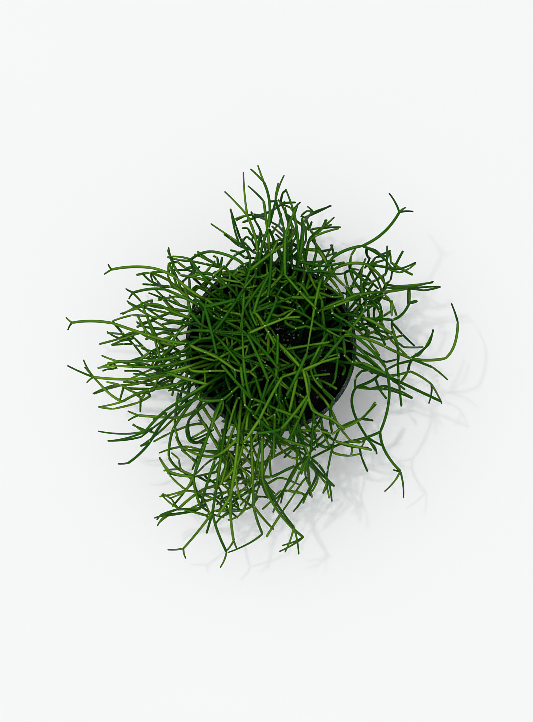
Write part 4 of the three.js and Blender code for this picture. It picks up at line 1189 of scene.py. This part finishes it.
def pale_floor(stage):
    """A pale matt floor, with painted shade that darkens it towards the north-west, and faint clouds."""
    finish = Finish("pale_floor")
    place = finish.place()
    clouds = finish.noise(place, 220, 3)
    shade = tuple(0.93 * channel for channel in stage.floor_colour[:3]) + (1,)
    # Painted shade: the floor is mixed towards a darker colour towards the north-west.
    far_side = finish.along(place, FAR_WAY).between(-350 * MM, 350 * MM)
    factor = far_side * 0.85 + clouds.between(0.3, 0.7) * 0.15
    colour = finish.mix(factor, stage.floor_colour, shade)
    return finish.surface(colour, clouds * 0.1 + 0.7, 0.1)


# ---- Modelling ----

# The shading of each kind of piece breaks at edges sharper than this many degrees.
POT_CREASE = 35
SOIL_CREASE = 60
LITTER_CREASE = 50
STEM_CREASE = 60
WOOL_CREASE = 70


def pick(piece):
    """Makes one object the active and only selected one."""
    bpy.ops.object.select_all(action="DESELECT")
    piece.select_set(True)
    bpy.context.view_layer.objects.active = piece


def added(name, add, **settings):
    """The object that a modelling operator adds, under a name of its own and placed in its mesh."""
    bpy.ops.object.select_all(action="DESELECT")
    add(**settings)
    piece = bpy.context.object
    piece.name = name
    piece.data.name = name
    bpy.ops.object.transform_apply(location=True, rotation=True, scale=True)
    return piece


def linked(name, data):
    """A new object in the scene that shows the data."""
    piece = bpy.data.objects.new(name, data)
    bpy.context.scene.collection.objects.link(piece)
    return piece


def copied(model, name, matrix):
    """A copy of a model with a mesh of its own, placed in it."""
    mesh = model.data.copy()
    mesh.transform(matrix)
    return linked(name, mesh)


def tree_of(points):
    """A search tree of points under their indices."""
    tree = KDTree(len(points))
    for index, point in enumerate(points):
        tree.insert(point, index)
    tree.balance()
    return tree


def apply_modifier(piece, name, kind, **settings):
    """Adds a modifier with its settings and applies it."""
    pick(piece)
    modifier = piece.modifiers.new(name, kind)
    for setting, value in settings.items():
        setattr(modifier, setting, value)
    bpy.ops.object.modifier_apply(modifier=modifier.name)


def open_mesh(piece):
    """Enters edit mode with all of a piece selected."""
    pick(piece)
    bpy.ops.object.mode_set(mode="EDIT")
    bpy.ops.mesh.select_mode(type="VERT")
    bpy.ops.mesh.select_all(action="SELECT")


def close_mesh():
    bpy.ops.object.mode_set(mode="OBJECT")


def roughen(piece, offset, seed):
    """Moves the points of a model about at random, by up to an offset."""
    open_mesh(piece)
    bpy.ops.transform.vertex_random(offset=offset, seed=seed)
    close_mesh()


def cap():
    """Closes the selected loop of edges with a fan of faces round its centre."""
    bpy.ops.mesh.edge_face_add()
    bpy.ops.mesh.poke()


def turned(name, section, sides):
    """A turned body: a circle carried through each ring of a section of (radius, height) in millimetres."""
    radius, height = section[0]
    centre = (0, 0, height * MM)
    shell = added(
        name, bpy.ops.mesh.primitive_circle_add, vertices=sides, radius=radius * MM, location=centre)
    open_mesh(shell)
    for next_radius, next_height in section[1:]:
        rise = {"value": (0, 0, (next_height - height) * MM)}
        bpy.ops.mesh.extrude_region_move(TRANSFORM_OT_translate=rise)
        wider = next_radius / radius
        centre = (0, 0, next_height * MM)
        bpy.ops.transform.resize(value=(wider, wider, 1), center_override=centre)
        radius, height = next_radius, next_height
    cap()
    bpy.ops.mesh.select_all(action="DESELECT")
    close_mesh()
    for vertex in shell.data.vertices[:sides]:
        vertex.select = True
    bpy.ops.object.mode_set(mode="EDIT")
    cap()
    bpy.ops.mesh.select_all(action="SELECT")
    bpy.ops.mesh.normals_make_consistent(inside=False)
    close_mesh()
    return shell


def smooth(piece, angle):
    """Shades a piece smooth but for edges sharper than an angle in degrees."""
    pick(piece)
    bpy.ops.object.shade_smooth_by_angle(angle=math.radians(angle))


def coat(piece, *finishes):
    """Gives a piece its materials in order."""
    piece.data.materials.clear()
    for material in finishes:
        piece.data.materials.append(material)


def settle(piece, slot, *nodes):
    """Puts a finished piece on the object's body and hides the frame's nodes that it stands for. The slot is
    not used.
    """
    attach(piece, BODY)
    if nodes:
        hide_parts(*nodes)


def cone_radius(height):
    """Outer radius of the pot's cone at a height below its collar."""
    collar_foot = POT_HEIGHT - COLLAR_HEIGHT
    return FOOT_RADIUS + (SHOULDER_RADIUS - FOOT_RADIUS) * height / collar_foot


# ---- Pot and soil ----

# The turned bodies start and end in a ring this small, which a fan of faces closes.
EYE_RADIUS = 1.5
DRAIN_SIDES = 40
# Edges of the pot sharper than this many degrees are rounded, in this many flats.
ROUNDED_ANGLE = 25
ROUNDED_FLATS = 3


def pot_section():
    """The pot's half section, from the middle of its underside out, up, over the lip and back inside."""
    collar_foot = POT_HEIGHT - COLLAR_HEIGHT
    lip_foot = POT_HEIGHT - LIP_DEPTH
    ledge_in = DRAIN_CIRCLE - DRAIN_LEDGE
    ledge_out = DRAIN_CIRCLE + DRAIN_LEDGE
    return [
        (EYE_RADIUS, 0),
        (ledge_in - BASE, 0),
        (ledge_in, DRAIN_RISE),
        (ledge_out, DRAIN_RISE),
        (ledge_out + BASE, 0),
        (FOOT_RADIUS, 0),
        (SHOULDER_RADIUS, collar_foot),
        (COLLAR_RADIUS, collar_foot + LIP_ROUND),
        (COLLAR_RADIUS, lip_foot),
        (RIM_RADIUS, lip_foot + LIP_ROUND),
        (RIM_RADIUS, POT_HEIGHT),
        (RIM_RADIUS - LIP_WIDTH, POT_HEIGHT),
        (COLLAR_RADIUS - WALL, collar_foot + WALL + LIP_ROUND),
        (SHOULDER_RADIUS - WALL, collar_foot),
        (cone_radius(BASE) - WALL, BASE),
        (ledge_out + BASE / 2, BASE),
        (ledge_out - BASE / 2, DRAIN_RISE + BASE),
        (ledge_in + BASE / 2, DRAIN_RISE + BASE),
        (ledge_in - BASE / 2, BASE),
        (EYE_RADIUS, BASE),
    ]


def drain_cutter():
    """One rod for each drain hole, joined in a single cutter."""
    rods = []
    for index in range(DRAIN_COUNT):
        turn = 2 * math.pi * index / DRAIN_COUNT
        place = (DRAIN_CIRCLE * MM * math.cos(turn), DRAIN_CIRCLE * MM * math.sin(turn), DRAIN_RISE * MM)
        rods.append(added(
            f"drain_{index}", bpy.ops.mesh.primitive_cylinder_add, vertices=DRAIN_SIDES,
            radius=DRAIN_RADIUS * MM, depth=4 * DRAIN_RISE * MM, location=place))
    return joined("drains", rods)


def joined(name, parts):
    """Several objects as one mesh."""
    bpy.ops.object.select_all(action="DESELECT")
    for part in parts:
        part.select_set(True)
    bpy.context.view_layer.objects.active = parts[0]
    if len(parts) > 1:
        bpy.ops.object.join()
    whole = bpy.context.object
    whole.name = name
    whole.data.name = name
    return whole


class CACTUS_OT_pot(bpy.types.Operator):
    """Turns the nursery pot, rounds its edges and opens its drain holes"""

    bl_idname = "cactus.pot"
    bl_label = "Nursery pot"

    def execute(self, context):
        pot = context.scene.cactus_pot
        shell = turned("nursery_pot", pot_section(), pot.sides)
        apply_modifier(
            shell, "rounding", "BEVEL", width=pot.rounding, segments=ROUNDED_FLATS, limit_method="ANGLE",
            angle_limit=math.radians(ROUNDED_ANGLE))
        cutter = drain_cutter()
        apply_modifier(shell, "drains", "BOOLEAN", operation="DIFFERENCE", solver="EXACT", object=cutter)
        bpy.data.objects.remove(cutter)
        smooth(shell, POT_CREASE)
        coat(shell, pot_plastic(pot))
        settle(shell, "pot_plastic", "pot")
        return {"FINISHED"}


# Grains of soil: the size and share of the lumps and of the cells among them, from two cuts through
# the noise. They fade out this far from the pot's wall.
LUMP_LENGTH = 2.6
LUMP_CUT = 3.1
LUMP_SHARE = 0.45
LUMP_FRACTAL = (0.8, 2.1, 3)
CELL_LENGTH = 2.1
CELL_CUT = 0.4
CELL_SHARE = 0.55
CELL_TOP = 0.6
GRAIN_LEVEL = 0.3
EDGE_FADE = 2


def crumbs(x, y):
    """Height of the crumbly surface above the level soil, in millimetres."""
    coarse = math.sin(x / CRUMB_LENGTH) * math.cos(y / CRUMB_LENGTH)
    fine = math.sin((x + 2 * y) / CRUMB_LENGTH)
    return CRUMB_HEIGHT * (coarse + fine / 2)


def grains(x, y):
    """Height of the grains of soil at a place, from about 0 to about 1."""
    lumps = noise.fractal(Vector((x / LUMP_LENGTH, y / LUMP_LENGTH, LUMP_CUT)), *LUMP_FRACTAL)
    cells = noise.voronoi(Vector((x / CELL_LENGTH, y / CELL_LENGTH, CELL_CUT)))[0]
    return CELL_SHARE * (CELL_TOP - cells[0]) + LUMP_SHARE * lumps + GRAIN_LEVEL


class CACTUS_OT_soil(bpy.types.Operator):
    """Fills the pot with soil and roughens its upper surface into crumbs"""

    bl_idname = "cactus.soil"
    bl_label = "Potting soil"

    def execute(self, context):
        soil = context.scene.cactus_soil
        floor = DRAIN_RISE + BASE + SOIL_GAP
        floor_radius = cone_radius(floor) - WALL - SOIL_GAP
        edge = SOIL_TOP - CRUMB_HEIGHT
        edge_radius = cone_radius(edge) - WALL - SOIL_GAP
        section = [(EYE_RADIUS, floor), (floor_radius, floor), (edge_radius, edge)]
        for ring in range(1, soil.rings):
            radius = edge_radius + (EYE_RADIUS - edge_radius) * ring / (soil.rings - 1)
            section.append((radius, SOIL_TOP))
        plug = turned("potting_soil", section, soil.sides)
        for vertex in plug.data.vertices:
            x, y, z = vertex.co / MM
            if z > edge + CRUMB_HEIGHT / 2:
                inset = min(1, (edge_radius - math.hypot(x, y)) / EDGE_FADE)
                rise = crumbs(x, y) + soil.relief / MM * grains(x, y)
                vertex.co.z = (SOIL_TOP + rise * inset) * MM
        plug.data.update()
        smooth(plug, SOIL_CREASE)
        coat(plug, moist_soil(soil))
        settle(plug, "potting_soil", "soil")
        return {"FINISHED"}


# Loose crumbs on the soil: how far out they lie and how much they tilt, and the bare patch of soil
# that this share of the grains lies in.
LITTER_REACH = 51
LITTER_TILT = 0.6
PATCH_PLACE = 10
PATCH_SPREAD = 6
PATCH_SHARE = 0.5
# They lie on the parts of the soil that face up at least this much.
UPWARD = 0.2
# Bark is flat and long and perlite round. Each piece is raised by a share of its size.
CHIP_SHAPE = (0.7, 1.3, 0.3)
CHIP_SWELL = 0.4
CHIP_ROUGHNESS = 0.16
CHIP_SIZES = (1.2, 4.2)
CHIP_RISE = 0.1
GRAIN_ROUGHNESS = 0.13
GRAIN_SIZES = (0.7, 2.0)
GRAIN_RISE = 0.35


def scattered(name, model, count, seed, sizes, rise, spread, material):
    """Copies of a model that lie about on the soil, at the places that spread(draw) gives."""
    draw = random.Random(seed)
    soil = bpy.data.objects["potting_soil"].data
    points = [vertex.co for vertex in soil.vertices if vertex.normal.z > UPWARD]
    tree = tree_of([(point.x, point.y, 0) for point in points])
    copies = []
    for index in range(count):
        x, y = spread(draw)
        size = draw.uniform(*sizes) * MM
        ground = points[tree.find((x * MM, y * MM, 0))[1]].z
        turn = Matrix.Rotation(draw.uniform(0, 2 * math.pi), 4, "Z")
        tilt = Matrix.Rotation(draw.uniform(-LITTER_TILT, LITTER_TILT), 4, "X")
        place = Matrix.Translation((x * MM, y * MM, ground + size * rise))
        copies.append(copied(model, f"{name}_{index}", place @ turn @ tilt @ Matrix.Scale(size, 4)))
    bpy.data.objects.remove(model)
    heap = joined(name, copies)
    coat(heap, material)
    smooth(heap, LITTER_CREASE)
    settle(heap, "potting_soil")


def anywhere(draw):
    """A place on the soil, in millimetres."""
    radius = LITTER_REACH * math.sqrt(draw.random())
    turn = draw.uniform(0, 2 * math.pi)
    return radius * math.cos(turn), radius * math.sin(turn)


def mostly_middle(draw):
    """A place on the soil, often in the bare patch near the middle of the pot."""
    if draw.random() < PATCH_SHARE:
        return PATCH_PLACE + draw.gauss(0, PATCH_SPREAD), PATCH_PLACE + draw.gauss(0, PATCH_SPREAD)
    return anywhere(draw)


class CACTUS_OT_crumbs(bpy.types.Operator):
    """Scatters bark chips and grains of perlite on the soil"""

    bl_idname = "cactus.crumbs"
    bl_label = "Bark and perlite"

    def execute(self, context):
        soil = context.scene.cactus_soil
        chip = added("chip", bpy.ops.mesh.primitive_cube_add, size=1)
        open_mesh(chip)
        bpy.ops.mesh.subdivide(number_cuts=1, smoothness=CHIP_SWELL)
        bpy.ops.transform.resize(value=CHIP_SHAPE)
        close_mesh()
        roughen(chip, CHIP_ROUGHNESS, soil.seed)
        scattered("bark_chips", chip, soil.chips, soil.seed, CHIP_SIZES, CHIP_RISE, anywhere, bark_chip(soil))
        grain = added("grain", bpy.ops.mesh.primitive_ico_sphere_add, subdivisions=2, radius=0.5)
        seed = soil.seed + 1
        roughen(grain, GRAIN_ROUGHNESS, seed)
        scattered("perlite", grain, soil.grains, seed, GRAIN_SIZES, GRAIN_RISE, mostly_middle,
                  perlite_grain(soil))
        return {"FINISHED"}


# ---- Stems ----

FINE_STEPS = np.linspace(0, 1, 25)
DOME_TURNS = np.radians([0, 20, 40, 60, 76, 88])
TUBE_RESOLUTION = 2
# Points of a tube's ends that are this close are one point.
SEAM = 0.001
# The skin marks a joint this much further than the stem narrows at it.
MARK_SPREAD = 1.5

# Wool: the chance of it at a joint and at a tip, its sizes there, and how deep it sits and leans.
JOINT_WOOL = 0.5
JOINT_WOOL_SIZES = (0.8, 1.15)
JOINT_WOOL_DEPTH = 0.85
JOINT_WOOL_LEAN = 0.9
TIP_WOOL = 0.22
TIP_WOOL_SIZES = (0.7, 1.0)
TIP_WOOL_DEPTH = 0.3
WOOL_ROUGHNESS = 0.22


def rings(rod, stems):
    """The rings of a rod: their centres, radii and ages, and how near each is to a joint."""
    parts = [bezier(bend, FINE_STEPS) for bend in rod.bends]
    line = np.vstack(parts[:1] + [part[1:] for part in parts[1:]])
    lengths = np.append(0, np.cumsum(np.linalg.norm(np.diff(line, axis=0), axis=1)))
    rooted = len(rod.bends) > len(rod.stations)
    every = len(FINE_STEPS) - 1
    joints = lengths[2 * every::every] if rooted else lengths[::every]
    start_radius, end_radius = rod.radii
    total = lengths[-1]
    shoulder = total - end_radius
    body = np.arange(0, shoulder - end_radius, stems.step / MM)
    places = np.append(body, shoulder + end_radius * np.sin(DOME_TURNS))
    centres = np.column_stack([np.interp(places, lengths, line[:, axis]) for axis in range(3)])
    share = places / total
    radii = start_radius + (end_radius - start_radius) * share
    reach = stems.pinch_length / MM
    inner = joints[:-1] if len(joints) > 1 else joints
    near = np.exp(-((places[:, None] - inner[None]) / reach) ** 2).max(1) if len(inner) else 0 * places
    radii = radii * (1 - stems.pinch * near)
    radii[-len(DOME_TURNS):] = end_radius * np.cos(DOME_TURNS)
    nearest = np.exp(-((places[:, None] - joints[None]) / (MARK_SPREAD * reach)) ** 2).max(1)
    ages = rod.ages[0] + (rod.ages[1] - rod.ages[0]) * share
    return centres, radii, ages, nearest, np.full(len(places), rod.tone)


def tubes(name, rods, stems):
    """The rods of one piece as round tubes in one mesh, with their ages and joints on it."""
    curve = bpy.data.curves.new(name, "CURVE")
    curve.dimensions = "3D"
    curve.bevel_depth = MM
    curve.bevel_resolution = TUBE_RESOLUTION
    curve.use_fill_caps = True
    all_rings = [rings(rod, stems) for rod in rods]
    for centres, radii, _, _, _ in all_rings:
        spline = curve.splines.new("POLY")
        spline.points.add(len(centres) - 1)
        homogeneous = np.column_stack([centres * MM, np.ones(len(centres))])
        spline.points.foreach_set("co", homogeneous.ravel())
        spline.points.foreach_set("radius", radii)
    tube = linked(name, curve)
    pick(tube)
    bpy.ops.object.convert(target="MESH")
    open_mesh(tube)
    bpy.ops.mesh.remove_doubles(threshold=SEAM * MM)
    bpy.ops.mesh.normals_make_consistent(inside=False)
    close_mesh()
    smooth(tube, STEM_CREASE)
    mark(tube, all_rings)
    return tube


def mark(tube, all_rings):
    """Stores the age, the nearness of a joint and the tone on each point of a tube, for its skin."""
    tree = tree_of(np.vstack([ring[0] for ring in all_rings]) * MM)
    nearest = [tree.find(vertex.co)[1] for vertex in tube.data.vertices]
    for name, column in (("grown", 2), ("joint", 3), ("tone", 4)):
        values = np.concatenate([ring[column] for ring in all_rings])[nearest]
        attribute = tube.data.attributes.new(name, "FLOAT", "POINT")
        attribute.data.foreach_set("value", values.astype(np.float32))


def wool_model(stems):
    """One tuft of wool, of a few dozen faces."""
    tuft = added("tuft", bpy.ops.mesh.primitive_uv_sphere_add, segments=8, ring_count=5, radius=1)
    roughen(tuft, WOOL_ROUGHNESS, stems.seed)
    smooth(tuft, WOOL_CREASE)
    return tuft


def wool_places(rods, draw):
    """Where wool shows on a piece, as (place, size): beside some joints and on some tips."""
    places = []
    for rod in rods:
        radius = rod.radii[1]
        for station in rod.stations[:-1]:
            if draw.random() < JOINT_WOOL:
                aside = np.cross(station.heading, UP)
                lean = draw.uniform(-JOINT_WOOL_LEAN, JOINT_WOOL_LEAN)
                above = unit(np.cross(aside, station.heading) + aside * lean)
                place = station.at + above * radius * JOINT_WOOL_DEPTH
                places.append((place, draw.uniform(*JOINT_WOOL_SIZES)))
        if draw.random() < TIP_WOOL:
            last = rod.stations[-1]
            place = last.at - last.heading * radius * TIP_WOOL_DEPTH
            places.append((place, draw.uniform(*TIP_WOOL_SIZES)))
    return places


def stem_piece(name, rods, stems, tuft, draw, skin, wool):
    """A cutting, or a region of the tangle, with its skin and its wool."""
    for rod in rods:
        rod.tone = draw.random()
    tube = tubes(name, rods, stems)
    coat(tube, skin)
    parts = [tube]
    for index, (place, size) in enumerate(wool_places(rods, draw)):
        shape = Matrix.Translation(place * MM) @ Matrix.Scale(size * stems.wool, 4)
        copy = copied(tuft, f"{name}_wool_{index}", shape)
        coat(copy, wool)
        parts.append(copy)
    return joined(name, parts)


class CACTUS_OT_cuttings(bpy.types.Operator):
    """Grows every rooted cutting, each clear of those before it, and the tangle of twigs among them"""

    bl_idname = "cactus.cuttings"
    bl_label = "Cuttings"

    def execute(self, context):
        stems = context.scene.cactus_stems
        draw = random.Random(stems.seed)
        skin, wool = stem_skin(stems), joint_wool(stems)
        tuft = wool_model(stems)
        thicket = Thicket()
        grown = grow_all(CUTTINGS, thicket)
        for name, rods in grown.items():
            piece = stem_piece(f"cutting_{name}", rods, stems, tuft, draw, skin, wool)
            settle(piece, "green_stem", f"stem_{name}")
        for region, rods in tangle(stems, grown, thicket).items():
            piece = stem_piece(f"tangle_{region}", rods, stems, tuft, draw, skin, wool)
            settle(piece, "green_stem")
        bpy.data.objects.remove(tuft)
        return {"FINISHED"}


# ---- Stage ----

CAMERA_LENS = 57
# How far a point of light spreads in the picture, in its pixels, and how much it is sharpened.
SPREAD = 0.7
SHARPNESS = 0.02
EYE_GAMMA = 2.2
LAMP_PLACE = (-300, 230, 1150)
SOFTBOX_WAY = (-0.2, 0.16, 1)
SOFTBOX_FOCUS = 10
ROOM_LIGHT = (0.985, 0.995, 1, 1)
ROOM_COLOUR = (0.88, 0.895, 0.89, 1)
# Contrast: how light the picture shows each amount of light.
CONTRAST = ((0.25, 0.22), (0.5, 0.48), (0.72, 0.78), (0.88, 0.90))
# The curve of the contrast that acts on red, green and blue alike.
ALL_CHANNELS = 3
FLOOR_CUTS = 3


def studio(stage):
    """The soft light of the room, stronger from the side of the key lamp and plain to the camera."""
    room = Finish("studio", "worlds")
    way = room.node("ShaderNodeTexCoord", {}, {}, "Generated")
    facing = room.along(way, Vector(SOFTBOX_WAY).normalized())
    glow = facing.maths("MAXIMUM", facing, 0) ** SOFTBOX_FOCUS * stage.softbox + stage.sky
    light = room.node("ShaderNodeBackground", {}, {"Color": ROOM_LIGHT, "Strength": glow})
    plain = room.node("ShaderNodeBackground", {}, {"Color": ROOM_COLOUR})
    seen = room.node("ShaderNodeLightPath", {}, {}, "Is Camera Ray")
    either = room.node("ShaderNodeMixShader", {}, {0: seen, 1: light, 2: plain})
    room.node("ShaderNodeOutputWorld", {}, {"Surface": either})
    return room.owner


def develop(scene):
    """Sharpens the picture a little, as a camera does, on the light as the eye grades it."""
    scene.use_nodes = True
    tree = scene.node_tree
    tree.nodes.clear()
    light = tree.nodes.new("CompositorNodeRLayers").outputs["Image"]
    steps = (("Gamma", "Gamma", 1 / EYE_GAMMA), ("Filter", "Fac", SHARPNESS), ("Gamma", "Gamma", EYE_GAMMA))
    for kind, socket, value in steps:
        step = tree.nodes.new("CompositorNode" + kind)
        step.inputs[socket].default_value = value
        if kind == "Filter":
            step.filter_type = "SHARPEN"
        tree.links.new(light, step.inputs["Image"])
        light = step.outputs["Image"]
    tree.links.new(light, tree.nodes.new("CompositorNodeComposite").inputs["Image"])


class CACTUS_OT_stage(bpy.types.Operator):
    """Lays the pale floor and sets up the soft light and the camera above the plant"""

    bl_idname = "cactus.stage"
    bl_label = "Stage"

    def execute(self, context):
        stage = context.scene.cactus_stage
        scene = context.scene
        floor = added("floor", bpy.ops.mesh.primitive_plane_add, size=stage.floor_size)
        open_mesh(floor)
        bpy.ops.mesh.subdivide(number_cuts=FLOOR_CUTS)
        close_mesh()
        coat(floor, pale_floor(stage))

        scene.world = studio(stage)

        lamp_data = bpy.data.lights.new("key_lamp", "AREA")
        lamp_data.energy = stage.lamp_power
        lamp_data.size = stage.lamp_size
        lamp = linked("key_lamp", lamp_data)
        lamp.location = Vector(LAMP_PLACE) * MM
        aim = Vector((0, 0, SOIL_TOP * MM)) - lamp.location
        lamp.rotation_euler = aim.to_track_quat("-Z", "Y").to_euler()
        lamp.visible_camera = False

        camera_data = bpy.data.cameras.new("camera")
        camera_data.lens = CAMERA_LENS
        camera = linked("camera", camera_data)
        camera.location = Vector((*CAMERA_PLACE, CAMERA_HEIGHT)) * MM
        scene.camera = camera
        scene.cycles.filter_width = SPREAD
        scene.view_settings.view_transform = "Standard"
        develop(scene)
        scene.view_settings.use_curve_mapping = True
        mapping = scene.view_settings.curve_mapping
        for light, shown in CONTRAST:
            mapping.curves[ALL_CHANNELS].points.new(light, shown)
        mapping.update()
        return {"FINISHED"}


OPERATORS = (CACTUS_OT_pot, CACTUS_OT_soil, CACTUS_OT_crumbs, CACTUS_OT_cuttings, CACTUS_OT_stage)


class CACTUS_PT_panel(bpy.types.Panel):
    """Lists the pieces of the potted cactus"""

    bl_idname = "CACTUS_PT_panel"
    bl_label = "Potted mistletoe cactus"
    bl_space_type = "VIEW_3D"
    bl_region_type = "UI"
    bl_category = "Cactus"

    def draw(self, context):
        for operator in OPERATORS:
            self.layout.operator(operator.bl_idname)
        for name, group in SETTINGS.items():
            box = self.layout.box()
            for setting in group.bl_rna.properties.keys():
                if setting not in ("rna_type", "name"):
                    box.prop(getattr(context.scene, name), setting)


CLASSES = (*SETTINGS.values(), *OPERATORS, CACTUS_PT_panel)


def register():
    for each in CLASSES:
        bpy.utils.register_class(each)
    for name, group in SETTINGS.items():
        setattr(bpy.types.Scene, name, PointerProperty(type=group))


def unregister():
    for name in SETTINGS:
        delattr(bpy.types.Scene, name)
    for each in reversed(CLASSES):
        bpy.utils.unregister_class(each)


def main():
    register()
    bpy.ops.cactus.pot()
    bpy.ops.cactus.soil()
    bpy.ops.cactus.crumbs()
    bpy.ops.cactus.cuttings()
    bpy.ops.cactus.stage()


if __name__ == "__main__":
    main()
